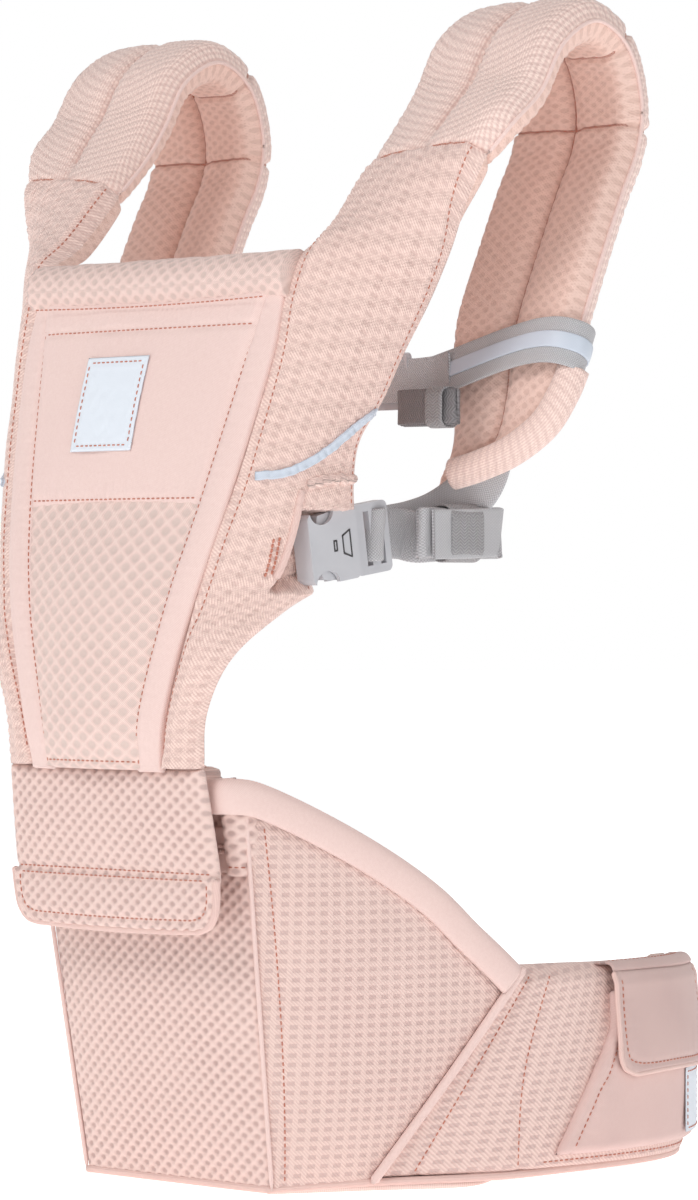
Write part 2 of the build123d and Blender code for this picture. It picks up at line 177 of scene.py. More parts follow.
def facing(grid, away):
    """The grid's normals, turned to point along `away`."""
    n = grid_normals(grid)
    return n if np.sum(n * away) > 0 else -n


def crowned(grid, away, height, power=2.4):
    """The grid pushed out along its normals, most in the middle and not at its edges."""
    a = 1 - np.abs(np.linspace(-1, 1, grid.shape[0]))[:, None] ** power
    b = 1 - np.abs(np.linspace(-1, 1, grid.shape[1]))[None] ** power
    return grid + facing(grid, np.array(away, float)) * (a * b * height)[..., None]


def thick(grid, away, depth):
    """The face behind a grid, `depth` deeper."""
    return grid - facing(grid, np.array(away, float)) * depth


def sample(grid, s, t):
    """Values of a grid at fractions s and t of its two directions."""
    x = np.clip(s, 0, 1) * (grid.shape[0] - 1)
    y = np.clip(t, 0, 1) * (grid.shape[1] - 1)
    i = np.minimum(x.astype(int), grid.shape[0] - 2)
    j = np.minimum(y.astype(int), grid.shape[1] - 2)
    f, g = (x - i)[:, None], (y - j)[:, None]
    return (
        grid[i, j] * (1 - f) * (1 - g)
        + grid[i + 1, j] * f * (1 - g)
        + grid[i, j + 1] * (1 - f) * g
        + grid[i + 1, j + 1] * f * g
    )


def on_face(face, normals, line, count=120):
    """Points and normals along a smooth line, given in fractions of a face."""
    at = curve(line, count).T
    return sample(face, *at), sample(normals, *at)


def ripple(x, seed=0.0):
    """An uneven wave between about -1 and 1, the same each run."""
    return (np.sin(x + seed) + np.sin(1.7 * x + 2.1 * seed + 1) + np.sin(2.9 * x + 0.7 * seed)) / 3


# -------- raised patterns, in millimetres


def cells(a, b):
    """1 in the middle of each cell of a grid of unit cells, and 0 on its lines."""
    return np.abs(np.cos(math.pi * a) * np.cos(math.pi * b))


def diamond_cells(u, v, across, down):
    return cells(u / across + v / down, u / across - v / down)


# The width and height of each pattern's cells.
WAFFLE = (8.0, 6.2)
LATTICE = (10.4, 7.8)
ROLL_MESH = (8.6, 6.4)
SQUARES = (6.4, 4.5)
# Where a dash of the square pattern starts and ends, across and down, as parts of a wave.
DASH_EDGES = ((0.48, 0.72), (0.6, 0.86))
RIDGE_PITCH = 4.6
RIDGE_BOW = 0.012


def sunk_diamonds(size, edges, depth, level=0.0):
    """A relief at `level` whose diamond cells sink by `depth`."""
    return lambda u, v: level - depth * smooth(*edges, diamond_cells(u, v, *size))


waffle_relief = sunk_diamonds(WAFFLE, (0.3, 0.75), 1.15, 0.6)
lattice_relief = sunk_diamonds(LATTICE, (0.25, 0.7), 0.45)
roll_relief = sunk_diamonds(ROLL_MESH, (0.3, 0.8), 0.5)


def square_mask(u, v):
    """1 in small dashes set in rows, and 0 between them."""
    across, down = (np.abs(np.cos(math.pi * x / size)) for x, size in zip((u, v), SQUARES))
    return smooth(*DASH_EDGES[0], across) * smooth(*DASH_EDGES[1], down)


def square_relief(u, v):
    return -0.4 * square_mask(u, v)


def faint_relief(u, v):
    return -0.35 * square_mask(u, v) + 0.3 * np.cos(2 * math.pi * (v + 0.35 * u) / SQUARES[1])


def ridge_relief(u, v):
    """Fine ridges across a strap, bowed the way knitted spacer fabric pulls."""
    bow = v - RIDGE_BOW * u**2
    fold = np.abs(np.cos(math.pi * bow / RIDGE_PITCH)) ** 0.7
    return 0.7 * fold - 0.45 * np.abs(np.cos(math.pi * (u / 3.4 + bow / (2 * RIDGE_PITCH))))


# -------- materials


def rgb(red, green, blue):
    """A colour given by the usual 0 to 255 values, as a linear RGBA."""
    values = [c / 255 for c in (red, green, blue)]
    return [c / 12.92 if c <= 0.04045 else ((c + 0.055) / 1.055) ** 2.4 for c in values] + [1.0]


class Look:
    """One procedural material, with short calls for its nodes."""

    def __init__(self, name, roughness=0.9, sheen=0.25, specular=0.25):
        self.material = bpy.data.materials.new(name)
        self.material.use_nodes = True
        self.tree = self.material.node_tree
        self.shader = self.tree.nodes["Principled BSDF"]
        self.shader.inputs["Roughness"].default_value = roughness
        self.shader.inputs["Sheen Weight"].default_value = sheen
        self.shader.inputs["Sheen Roughness"].default_value = 0.45
        self.shader.inputs["Specular IOR Level"].default_value = specular

    def node(self, kind, inputs=(), **settings):
        made = self.tree.nodes.new("ShaderNode" + kind)
        for key, value in settings.items():
            setattr(made, key, value)
        for key, value in dict(inputs).items():
            self.put(made.inputs[key], value)
        return made

    def put(self, socket, value):
        if isinstance(value, bpy.types.NodeSocket):
            self.tree.links.new(value, socket)
        else:
            socket.default_value = value

    def math(self, operation, *values):
        return self.node("Math", dict(enumerate(values)), operation=operation).outputs[0]

    def times(self, a, b):
        return self.math("MULTIPLY", a, b)

    def smooth(self, start, stop, value):
        made = self.node("MapRange", {0: value, 1: start, 2: stop}, interpolation_type="SMOOTHSTEP")
        return made.outputs[0]

    def mix(self, amount, first, second):
        made = self.node("Mix", data_type="RGBA")
        for number, value in ((0, amount), (6, first), (7, second)):
            self.put(made.inputs[number], value)
        return made.outputs[2]

    def cloth_axes(self):
        """u and v, in millimetres along the cloth."""
        split = self.node("SeparateXYZ", {0: self.node("UVMap", uv_map="cloth").outputs[0]})
        return split.outputs[0], split.outputs[1]

    def place(self):
        return self.node("TexCoord").outputs["Object"]

    def cells(self, u, v, across, down, diagonal=False):
        a, b = self.math("DIVIDE", u, across), self.math("DIVIDE", v, down)
        if diagonal:
            a, b = self.math("ADD", a, b), self.math("SUBTRACT", a, b)
        waves = [self.math("COSINE", self.times(x, math.pi)) for x in (a, b)]
        return self.math("ABSOLUTE", self.times(*waves))

    def noise(self, scale, detail=3.0, vector=None):
        made = self.node("TexNoise", {"Vector": vector or self.place(), "Scale": scale, "Detail": detail})
        return made.outputs[0]

    def bump(self, height, distance, strength=1.0):
        inputs = {"Height": height, "Distance": distance, "Strength": strength}
        before = self.shader.inputs["Normal"]
        if before.links:
            inputs["Normal"] = before.links[0].from_socket
        self.put(before, self.node("Bump", inputs).outputs[0])

    def finish(self, colour):
        self.put(self.shader.inputs["Base Color"], colour)
        return self.material


PINK = rgb(238, 211, 203)
PINK_LIGHT = rgb(247, 224, 215)
PINK_DEEP = rgb(216, 180, 172)
PINK_SHADE = rgb(206, 176, 170)
THREAD = rgb(186, 116, 98)


def threads(look, colour, u, v, pitch=1.1, lean=1.0, strength=0.35):
    """Adds fine woven threads and the slight unevenness of dyed cloth."""
    across = look.math("ADD", u, look.times(v, lean))
    wave = look.math("SINE", look.times(across, 2 * math.pi / pitch))
    fine = look.math("MULTIPLY_ADD", wave, 0.5, 0.5)
    mixed = look.times(look.math("ADD", fine, look.noise(620.0, 3.0)), 0.5)
    look.bump(mixed, 0.0004, strength)
    uneven = look.smooth(0.3, 0.7, look.noise(26.0, 4.0))
    fade = look.mix(look.times(uneven, 0.16), colour, PINK_LIGHT)
    return look.mix(look.times(look.smooth(0.66, 0.3, mixed), 0.5), fade, PINK_DEEP)


def patterned(name, size, low_edge, high_edge, depth, sunk_shade=PINK_SHADE, ridge_highlight=0.5):
    """Cloth with diagonal threads, with painted shade in the middle of each sunk diamond and a painted
    highlight on the raised lines between them.
    """
    look = Look(name)
    u, v = look.cloth_axes()
    cell = look.cells(u, v, *size, diagonal=True)
    sunk_shade_mask = look.smooth(low_edge, high_edge, cell)
    # Painted shade: the sunk middle of each diamond is darkened.
    base = look.mix(look.times(sunk_shade_mask, depth), PINK, sunk_shade)
    # Painted highlight: the raised lines between the diamonds are lightened.
    base = look.mix(look.times(look.smooth(0.22, 0.04, cell), ridge_highlight), base, PINK_LIGHT)
    return look.finish(threads(look, base, u, v))


def square_rows(look, u, v):
    masks = []
    for x, size, edges in zip((u, v), SQUARES, DASH_EDGES):
        wave = look.math("COSINE", look.times(x, math.pi / size))
        masks.append(look.smooth(*edges, look.math("ABSOLUTE", wave)))
    return look.times(*masks)


def squared_cloth():
    """Twill with rows of small sunk squares."""
    look = Look("square_mesh")
    u, v = look.cloth_axes()
    base = look.mix(look.times(square_rows(look, u, v), 0.7), PINK, rgb(200, 172, 168))
    return look.finish(threads(look, base, u, v, 1.8, 1.0, 0.8))


def plain_cloth(name, colour, pitch=0.8, lean=1.0, strength=0.2):
    look = Look(name, roughness=0.85)
    u, v = look.cloth_axes()
    return look.finish(threads(look, colour, u, v, pitch, lean, strength))


def knit_cloth():
    look = Look("soft_knit", roughness=0.95, sheen=0.35)
    u, v = look.cloth_axes()
    loops = look.cells(u, v, 1.9, 1.5, diagonal=True)
    speck = look.smooth(0.45, 0.7, look.noise(700.0, 2.0))
    look.bump(loops, 0.0005, 0.3)
    speckled = look.times(look.times(loops, speck), 0.6)
    patches = look.smooth(0.35, 0.8, look.cells(u, v, *ROLL_MESH, diagonal=True))
    base = look.mix(speckled, rgb(240, 207, 195), rgb(206, 166, 152))
    return look.finish(look.mix(look.times(patches, 0.42), base, rgb(204, 168, 155)))


def wing_cloth():
    """Fine knit with faint rows of small raised squares."""
    look = Look("wing_knit", roughness=0.93, sheen=0.35)
    u, v = look.cloth_axes()
    rows = square_rows(look, u, v)
    loops = look.cells(u, v, 2.1, 1.6, diagonal=True)
    look.bump(loops, 0.0005, 0.4)
    base = look.mix(look.times(rows, 0.5), rgb(252, 224, 214), PINK_SHADE)
    base = look.mix(look.times(loops, 0.55), base, rgb(212, 178, 168))
    return look.finish(threads(look, base, u, v, 1.9, 1.0, 0.6))


def ridged_cloth():
    look = Look("ridged_knit", roughness=0.92, sheen=0.35)
    u, v = look.cloth_axes()
    loops = look.cells(u, v, 3.1, 2.3, diagonal=True)
    look.bump(loops, 0.0006, 0.45)
    bow = look.math("SUBTRACT", v, look.times(look.times(u, u), RIDGE_BOW))
    valley_shade = look.math("ABSOLUTE", look.math("SINE", look.times(bow, math.pi / RIDGE_PITCH)))
    base = look.mix(look.times(look.smooth(0.25, 0.9, loops), 0.3), rgb(253, 227, 217), PINK_SHADE)
    # Painted shade in the valleys between the ridges.
    base = look.mix(look.times(look.smooth(0.6, 1.0, valley_shade), 0.4), base, PINK_SHADE)
    return look.finish(threads(look, base, u, v, 1.3, 0.0))


def webbing_look(name, face, shade):
    """Woven polyester tape, in a herringbone of narrow bands."""
    look = Look(name, roughness=0.6, sheen=0.15, specular=0.4)
    u, v = look.cloth_axes()
    bands = look.math("PINGPONG", u, 3.0)
    slant = look.math("ADD", v, look.times(bands, 0.7))
    weave = look.math("SINE", look.times(slant, 2 * math.pi / 1.5))
    look.bump(weave, 0.0003, 0.5)
    grain = look.noise(900.0, 2.0)
    tone = look.times(look.smooth(0.9, -0.8, weave), 0.45)
    base = look.mix(tone, face, shade)
    return look.finish(look.mix(look.times(grain, 0.15), base, shade))


def basket_webbing(name, face, shade):
    """Ribbed webbing: small raised knots in rows across it."""
    look = Look(name, roughness=0.6, sheen=0.15, specular=0.4)
    u, v = look.cloth_axes()
    knots = look.cells(u, v, 1.5, 1.1, diagonal=True)
    look.bump(knots, 0.0004, 0.6)
    base = look.mix(look.times(look.smooth(0.6, 0.0, knots), 0.7), face, shade)
    return look.finish(look.mix(look.times(look.noise(120.0, 3.0), 0.15), base, shade))


def beaded(name, pitch, strength, face, shade, **surface):
    """Cloth with a skin of tiny beads or satin threads."""
    look = Look(name, **surface)
    u, v = look.cloth_axes()
    beads = look.cells(u, v, *pitch, diagonal=True)
    look.bump(beads, 0.0002, strength)
    return look.finish(look.mix(look.times(beads, 0.3), face, shade))


def plastic_look(name, colour, worn):
    """Moulded acetal: a fine grain, and slightly polished where fingers press."""
    look = Look(name, roughness=0.42, sheen=0.0, specular=0.45)
    place = look.place()
    grain = look.noise(2600.0, 2.0, place)
    look.bump(grain, 0.0001, 0.35)
    cloud = look.smooth(0.35, 0.7, look.noise(60.0, 3.0, place))
    look.put(look.shader.inputs["Roughness"], look.math("ADD", look.times(cloud, 0.12), 0.36))
    return look.finish(look.mix(look.times(cloud, 0.35), colour, worn))


def thread_look():
    look = Look("stitching", roughness=0.7, sheen=0.2)
    twist = look.noise(900.0, 2.0)
    return look.finish(look.mix(look.smooth(0.35, 0.7, twist), THREAD, rgb(206, 142, 122)))


# Each patterned cloth's last colour is the painted shade in its sunk diamonds.
waffle = patterned("waffle_mesh", WAFFLE, 0.42, 0.85, 0.85, rgb(190, 163, 158))
lattice = patterned("lattice_mesh", LATTICE, 0.25, 0.7, 0.62, rgb(206, 192, 184), 0.8)
roll_mesh = patterned("roll_mesh", ROLL_MESH, 0.35, 0.75, 0.7, rgb(202, 184, 176))
squares = squared_cloth()
woven = plain_cloth("smooth_woven", rgb(242, 216, 210))
# Painted shade: darker copies of the smooth woven cloth for the pouch and, darker still, its flap.
pouch_shaded_woven = plain_cloth("pouch_shaded_woven", rgb(222, 193, 188))
flap_shaded_woven = plain_cloth("pouch_flap_shaded_woven", rgb(206, 179, 175))
lining = plain_cloth("lining_cloth", rgb(238, 212, 204), pitch=1.4)
binding = plain_cloth("binding_tape", rgb(230, 198, 190), pitch=1.2, lean=0.0)
knit = knit_cloth()
ridged = ridged_cloth()
wing_knit = wing_cloth()
grey_web = basket_webbing("grey_webbing", rgb(206, 205, 208), rgb(150, 148, 151))
dark_web = webbing_look("dark_webbing", rgb(138, 134, 136), rgb(98, 95, 98))
elastic = webbing_look("grey_elastic", rgb(168, 166, 168), rgb(112, 109, 112))
reflective = beaded("reflective_tape", (0.9, 0.9), 0.3, rgb(206, 214, 226), rgb(176, 186, 204),
                    roughness=0.35, sheen=0.0, specular=0.6)
buckle_plastic = plastic_look("buckle_plastic", rgb(192, 192, 197), rgb(206, 206, 210))
# Painted shade for the gaps in the buckles' faces.
gap_shade = plastic_look("gap_shade", rgb(58, 56, 58), rgb(70, 68, 70))
zip_plastic = plastic_look("zip_plastic", rgb(216, 182, 174), rgb(226, 196, 188))
stitching = thread_look()
label_cloth = beaded("label_cloth", (0.8, 0.5), 0.25, rgb(232, 238, 246), rgb(206, 214, 226),
                     roughness=0.8, sheen=0.1)
# Painted shadow laid along seam grooves.
seam_shadow_cloth = plain_cloth("seam_shadow", rgb(178, 124, 108), pitch=1.6)
hook_tape = plain_cloth("hook_tape", rgb(214, 184, 176), pitch=1.6, strength=0.8)

# -------- meshes


def make(name, points, faces, material, body, uv=None, slot="mesh_fabric", back=None, tags=None):
    """A smooth mesh piece of points in millimetres, riding on a body."""
    mesh = bpy.data.meshes.new(name)
    mesh.from_pydata((np.asarray(points) * MM).tolist(), [], faces)
    mesh.materials.append(material)
    if back:
        mesh.materials.append(back)
        mesh.polygons.foreach_set("material_index", tags)
    if uv is not None:
        layer = mesh.uv_layers.new(name="cloth")
        corners = np.zeros(len(mesh.loops), np.int32)
        mesh.loops.foreach_get("vertex_index", corners)
        layer.data.foreach_set("uv", np.asarray(uv, np.float32)[corners].ravel())
    mesh.polygons.foreach_set("use_smooth", np.ones(len(mesh.polygons), bool))
    piece = bpy.data.objects.new(name, mesh)
    bpy.context.scene.collection.objects.link(piece)
    if body:
        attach(piece, body)
    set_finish(piece, slot)
    return piece


def quads(index, flip=False):
    """The faces of a grid of vertex numbers."""
    rows = [index[:-1, :-1], index[1:, :-1], index[1:, 1:], index[:-1, 1:]]
    return np.stack(rows[::-1] if flip else rows, -1).reshape(-1, 4).tolist()


def ring_order(n, m):
    """The border of an n by m grid, once round."""
    return (
        [(i, 0) for i in range(n - 1)]
        + [(n - 1, j) for j in range(m - 1)]
        + [(i, m - 1) for i in range(n - 1, 0, -1)]
        + [(0, j) for j in range(m - 1, 0, -1)]
    )


# Closer than this, two points of a pad's faces become one.
TOUCHING = 0.02


def rounded_faces(outer, inner, rim):
    """Both faces of a pad, drawn together at each edge over its rim's width. A rim of 0 stays open."""
    middle = (outer + inner) / 2
    along, up = cloth_lengths(middle)
    shape = np.ones(middle.shape[:2])
    for away, width in zip((along, along[-1:] - along, up, up[:, -1:] - up), rim):
        if np.any(width):
            shape = shape * np.sqrt(1 - (1 - np.clip(away / width, 0, 1)) ** 2)
    return middle + (outer - middle) * shape[..., None], middle + (inner - middle) * shape[..., None]


def shell_faces(outer, inner):
    """Points and faces of the closed skin over two grids that meet, or nearly meet, at their borders."""
    n, m = outer.shape[:2]
    first = np.arange(n * m).reshape(n, m)
    second = first + n * m
    border = ring_order(n, m)
    for i, j in border:
        if np.linalg.norm(outer[i, j] - inner[i, j]) < TOUCHING:
            second[i, j] = first[i, j]
    flip = np.sum(grid_normals(outer) * (outer - inner)) < 0
    faces = quads(first, flip)
    for a, b in zip(border, border[1:] + border[:1]):
        ring = [first[a], second[a], second[b], first[b]]
        ring = [int(k) for k in dict.fromkeys(ring if not flip else ring[::-1])]
        if len(ring) > 2:
            faces.append(ring)
    back = quads(second, not flip)
    tags = [0] * len(faces) + [1] * len(back)
    points = np.vstack([outer.reshape(-1, 3), inner.reshape(-1, 3)])
    used = np.zeros(len(points), bool)
    used[[k for face in faces + back for k in face]] = True
    number = np.cumsum(used) - 1
    return points[used], [[int(number[k]) for k in face] for face in faces + back], tags, used


INFLATE_FRAMES = 16


def held_points(shape, rows=(), columns=()):
    """True at a grid's edges and on the given rows and columns, where stitches hold the cloth."""
    held = np.zeros(shape[:2], bool)
    held[[0, -1, *rows]] = held[:, [0, -1, *columns]] = True
    return held


def inflate(outer, inner, sewn, pressure, limit):
    """A pad's two faces once its filling has pushed them out, by cloth simulation. `sewn` marks the
    grid points that stitches and edges hold still, and no point moves more than `limit`."""
    points, faces, _, used = shell_faces(outer, inner)
    piece = make("pad_under_pressure", points, faces, woven, None)
    held = np.concatenate([sewn.ravel(), sewn.ravel()])[used]
    group = piece.vertex_groups.new(name="sewn")
    group.add([int(k) for k in np.flatnonzero(held)], 1.0, "REPLACE")
    cloth = piece.modifiers.new("cloth", "CLOTH").settings
    cloth.quality = 5
    cloth.mass = 0.2
    cloth.tension_stiffness = cloth.compression_stiffness = 12
    cloth.shear_stiffness = 6
    cloth.bending_stiffness = 0.4
    cloth.vertex_group_mass = "sewn"
    cloth.use_pressure = True
    cloth.uniform_pressure_force = pressure
    cloth.effector_weights.gravity = 0
    scene = bpy.context.scene
    for step in range(1, INFLATE_FRAMES + 1):
        scene.frame_set(step)
    moved = piece.evaluated_get(bpy.context.evaluated_depsgraph_get()).to_mesh()
    after = np.zeros(len(points) * 3)
    moved.vertices.foreach_get("co", after)
    shift = after.reshape(-1, 3) / MM - points
    reach = np.linalg.norm(shift, axis=1, keepdims=True)
    shift *= np.minimum(1, limit / np.maximum(reach, 1e-9))
    full = np.zeros((len(used), 3))
    full[used] = shift
    full = full.reshape(2, *outer.shape)
    borders = np.linalg.norm(outer - inner, axis=2) < TOUCHING
    full[1][borders] = full[0][borders]
    bpy.data.objects.remove(piece)
    scene.frame_set(1)
    return outer + full[0], inner + full[1]


def seam_field(uv, lines):
    """Each cloth point's distance to the nearest of some lines, and how far along it that is."""
    nearest = np.full(uv.shape[:2], 1e6)
    along = np.zeros(uv.shape[:2])
    for line in lines:
        at = travelled(line)
        for a, b, start in zip(line, line[1:], at):
            d = b - a
            t = np.clip(((uv - a) @ d) / max(d @ d, 1e-9), 0, 1)
            gap = np.linalg.norm(uv - (a + t[..., None] * d), axis=2)
            closer = gap < nearest
            nearest[closer] = gap[closer]
            along[closer] = (start + t * np.linalg.norm(d))[closer]
    return nearest, along


STITCH_PITCH = 3.3
STITCH_LENGTH = 2.3
STITCH_RADIUS = 0.36
STITCH_SIDES = 6


def add_stitches(name, runs, body, material=None, radius=STITCH_RADIUS, pitch=STITCH_PITCH):
    """Small thread loops along runs of (points, normals)."""
    starts, stops, ups = [], [], []
    for points, normals in runs:
        at = travelled(points)
        where = np.arange(pitch / 2, at[-1] - STITCH_LENGTH, pitch)
        for place, line, into in ((where, points, starts), (where + STITCH_LENGTH, points, stops),
                                  (where, normals, ups)):
            into.append(np.stack([np.interp(place, at, line[:, k]) for k in range(3)], 1))
    a, b, up = np.vstack(starts), np.vstack(stops), unit(np.vstack(ups))
    side = unit(np.cross(b - a, up))
    turn = np.arange(STITCH_SIDES) * 2 * math.pi / STITCH_SIDES
    out = side[:, None] * np.cos(turn)[None, :, None] + up[:, None] * np.sin(turn)[None, :, None]
    rings = []
    for share, size, lift in ((0.0, 0.35, -0.5), (0.2, 1.0, 0.35), (0.8, 1.0, 0.35), (1.0, 0.35, -0.5)):
        centre = a + (b - a) * share + up * radius * lift
        rings.append(centre[:, None] + out * radius * size)
    points = np.stack(rings, 1)
    faces = []
    for index in np.arange(points[..., 0].size).reshape(len(a), len(rings), STITCH_SIDES):
        faces += quads(np.hstack([index, index[:, :1]]), True)
        faces += [index[0, ::-1].tolist(), index[-1].tolist()]
    return make(name, points.reshape(-1, 3), faces, material or stitching, body, slot="fastener")


def pad(name, outer, inner, material, body, *, back=None, rim=3, step=1.3, relief=None, back_relief=None,
        seams=(), groove=0.7, pucker=0.25, slot="mesh_fabric", replaces=(), fill=0.6, centred=False,
        back_seams=False, shape=None, flat=None, dent=None, shadow_seams=False):
    """A padded piece between two coarse grids. `seams` are stitched lines in fractions of the grid.
    `relief` and `shape` raise the outer face, `dent` pushes both faces in. Returns the piece, its finished
    outer grid and that grid's normals."""
    spans = [np.linalg.norm(np.diff(outer, axis=k), axis=2).sum(k).max() for k in (0, 1)]
    n, m = [max(8, int(span / step) + 1) for span in spans]
    outer, inner = refine(outer, n, m), refine(inner, n, m)
    middle = (outer + inner) / 2
    u, v = cloth_lengths(middle)
    width, height = u[-1], v[:, -1:]
    if flat:
        uv = np.stack([middle @ axis for axis in flat], 2)
    else:
        uv = np.stack([u - width / 2, v - (height / 2 if centred else 0)], 2)
    if rim:
        outer, inner = rounded_faces(outer, inner, np.broadcast_to(rim, 4))
    away = outer - inner
    if dent:
        push = facing(middle, away) * dent(np.linspace(0, 1, n)[:, None], middle)[..., None]
        outer, inner = outer + push, inner + push
    edge = np.minimum(np.minimum(u, width - u), np.minimum(v, height - v))
    calm = smooth(0.5, 3.5, edge)
    lift, dip = np.zeros((n, m)), np.zeros((n, m))
    for raised in (relief, shape):
        if raised:
            lift += raised(uv[..., 0], uv[..., 1]) * calm
    if seams:
        gap, along = seam_field(uv, [sample(uv, *curve(line, 40).T) for line in seams])
        dip = groove * np.exp(-((gap / 1.6) ** 2))
        lift = lift * smooth(0.3, 2.2, gap) - dip
        lift += pucker * ripple(along * 0.75, len(name)) * np.exp(-gap / 5) * smooth(0.2, 1.5, gap) * calm
    outer = outer + facing(outer, away) * lift[..., None]
    if back_relief:
        lift = back_relief(uv[..., 0], uv[..., 1]) * calm - (dip if back_seams else 0)
        inner = inner + facing(inner, -away) * lift[..., None]
    points, faces, tags, used = shell_faces(outer, inner)
    flat_uv = np.concatenate([uv.reshape(-1, 2), uv.reshape(-1, 2)])[used]
    piece = make(name, points, faces, material, body, flat_uv, slot, back or material, tags)
    if replaces:
        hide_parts(*replaces)
    normals = facing(outer, away)
    runs = [on_face(outer, normals, line) for line in seams]
    if back_seams:
        runs += [on_face(inner, facing(inner, -away), line) for line in seams]
    # Where asked, a dark brown tube sunk into each seam groove paints its shadow.
    for k, (line, ups) in enumerate(runs if shadow_seams else []):
        tube(f"{name}_crease_{k}", line - ups * 0.5, 0.9, seam_shadow_cloth, body, up=ups, sides=8)
    if runs:
        add_stitches(name + "_stitches", runs, body)
    return piece, outer, normals


def sweep(name, rings, around, line, material, body, slot, closed, inwards):
    """The skin over rings of points set along a line, with flat ends unless it is closed."""
    index = np.arange(rings.shape[0] * rings.shape[1]).reshape(rings.shape[:2])
    if closed:
        index = np.vstack([index, index[:1]])
    faces = quads(np.hstack([index, index[:, :1]]), inwards)
    if not closed:
        turn = 1 if inwards else -1
        faces += [index[0, ::turn].tolist(), index[-1, ::-turn].tolist()]
    uv = grid_of(around[None], travelled(line)[:, None])
    return make(name, rings.reshape(-1, 3), faces, material, body, uv.reshape(-1, 2), slot)


def tangents(line, closed):
    return unit(np.roll(line, -1, 0) - np.roll(line, 1, 0) if closed else np.gradient(line, axis=0))


def tube(name, path, radius, material, body, flat=1.0, up=(0, 0, 1), slot="smooth_fabric", closed=False,
         sides=12, count=None):
    """A round or flattened strip of piping along a curve; `flat` scales it along `up`."""
    line = np.array(path, float) if count is None else curve(path, count)
    tangent = tangents(line, closed)
    side = unit(np.cross(tangent, np.broadcast_to(np.array(up, float), line.shape)))
    rise = np.cross(side, tangent)
    turn = np.linspace(0, 2 * math.pi, sides, endpoint=False)
    size = np.full(len(line), float(radius))
    if not closed:
        size[[0, -1]] *= 0.4
    ring = side[:, None] * np.cos(turn)[None, :, None] + rise[:, None] * (flat * np.sin(turn))[None, :, None]
    rings = line[:, None] + ring * size[:, None, None]
    return sweep(name, rings, turn * radius, line, material, body, slot, closed, True)


def strip(name, path, across, width, depth, material, body, slot="grey_webbing", closed=False, count=90,
          crown=0.0):
    """Flat webbing along a path. `across` is its width direction, one for all or one for each point."""
    line = curve(path, count)
    if closed:
        line = line[:-1]
    wide = np.array(across, float)
    wide = np.broadcast_to(wide, line.shape) if wide.ndim == 1 else curve(wide, count)[: len(line)]
    tangent = tangents(line, closed)
    wide = unit(wide - tangent * np.sum(wide * tangent, 1, keepdims=True))
    out = np.cross(tangent, wide)
    half, deep, lip = width / 2, depth / 2, min(depth / 2, 0.7)
    s = np.linspace(-1, 1, 15) * (half - lip)
    top = [(x, deep + crown * (1 - (x / half) ** 2)) for x in s]
    bottom = [(x, crown * (1 - (x / half) ** 2) - deep) for x in s[::-1]]
    edge = [(half - 0.2 * lip, deep * 0.6), (half, 0), (half - 0.2 * lip, -deep * 0.6)]
    section = np.array(top + edge + bottom + [(-x, -y) for x, y in edge])
    rings = line[:, None] + wide[:, None] * section[None, :, :1] + out[:, None] * section[None, :, 1:]
    return sweep(name, rings, section[:, 0], line, material, body, slot, closed, False)


SIDES = ((1, "left"), (-1, "right"))

# -------- the hip seat

SEAT_TOP = high("seat_front_cover")[2]
# The seat front's half width and y, at its foot and its top.
FRONT_HALF = (65, 75)
FRONT_Y = (-54, -82)
SIDE_TOP = [(75, -82, 198), (78, -72, 196), (88.5, -40.5, 181.5), (99, -7.7, 163), (107.5, 17.6, 145),
            (113.6, 36.4, 127), (118, 50.8, 114), (121, 60, 105)]
SIDE_LOW = [(65, -54, 0.5), (87, -10, 4)]
DIAGONAL = [(87, -10, 4), (105, 27, 56), (121, 60, 105)]
WALL_ALONG = unit(np.array([0.31, 0.951, 0]))
WALL_OUT = np.array([0.951, -0.31, 0])
UPRIGHT = (np.array([1, 0, 0]), np.array([0, 0, 1]))
WAIST_CENTRE_Y, WAIST_HALF_X, WAIST_HALF_Y = 140, 110, 79
BELT_TOP = high("belt_left_wing")[2]
# How far round the waist the seat's back pad reaches, in degrees each way.
PAD_ANGLE = 50


def waist(degrees, z, wider=0.0):
    """A point of the waist ellipse: 0 degrees is its front, 90 its left side."""
    a = np.radians(degrees)
    x = (WAIST_HALF_X + wider) * np.sin(a)
    y = WAIST_CENTRE_Y - (WAIST_HALF_Y + wider) * np.cos(a)
    return grid_of(x, y, z).astype(float)


def seat_front():
    s, t = sheet_axes(30, 40)
    half = FRONT_HALF[0] + (FRONT_HALF[1] - FRONT_HALF[0]) * t
    y = FRONT_Y[0] + (FRONT_Y[1] - FRONT_Y[0]) * t
    z = 1 + (SEAT_TOP - 1) * t
    bulge = 6 * (1 - np.abs(s) ** 3) * np.sin(math.pi * np.clip(t / 0.78, 0, 1)) ** 0.8
    pad("seat_front_panel", grid_of(s * half, y - bulge, z), grid_of(s * half, y + 4, z), waffle, "hip_seat",
        relief=waffle_relief, replaces=("seat_front_cover", "seat_foam_core"), fill=0.7, back=lining,
        flat=UPRIGHT)


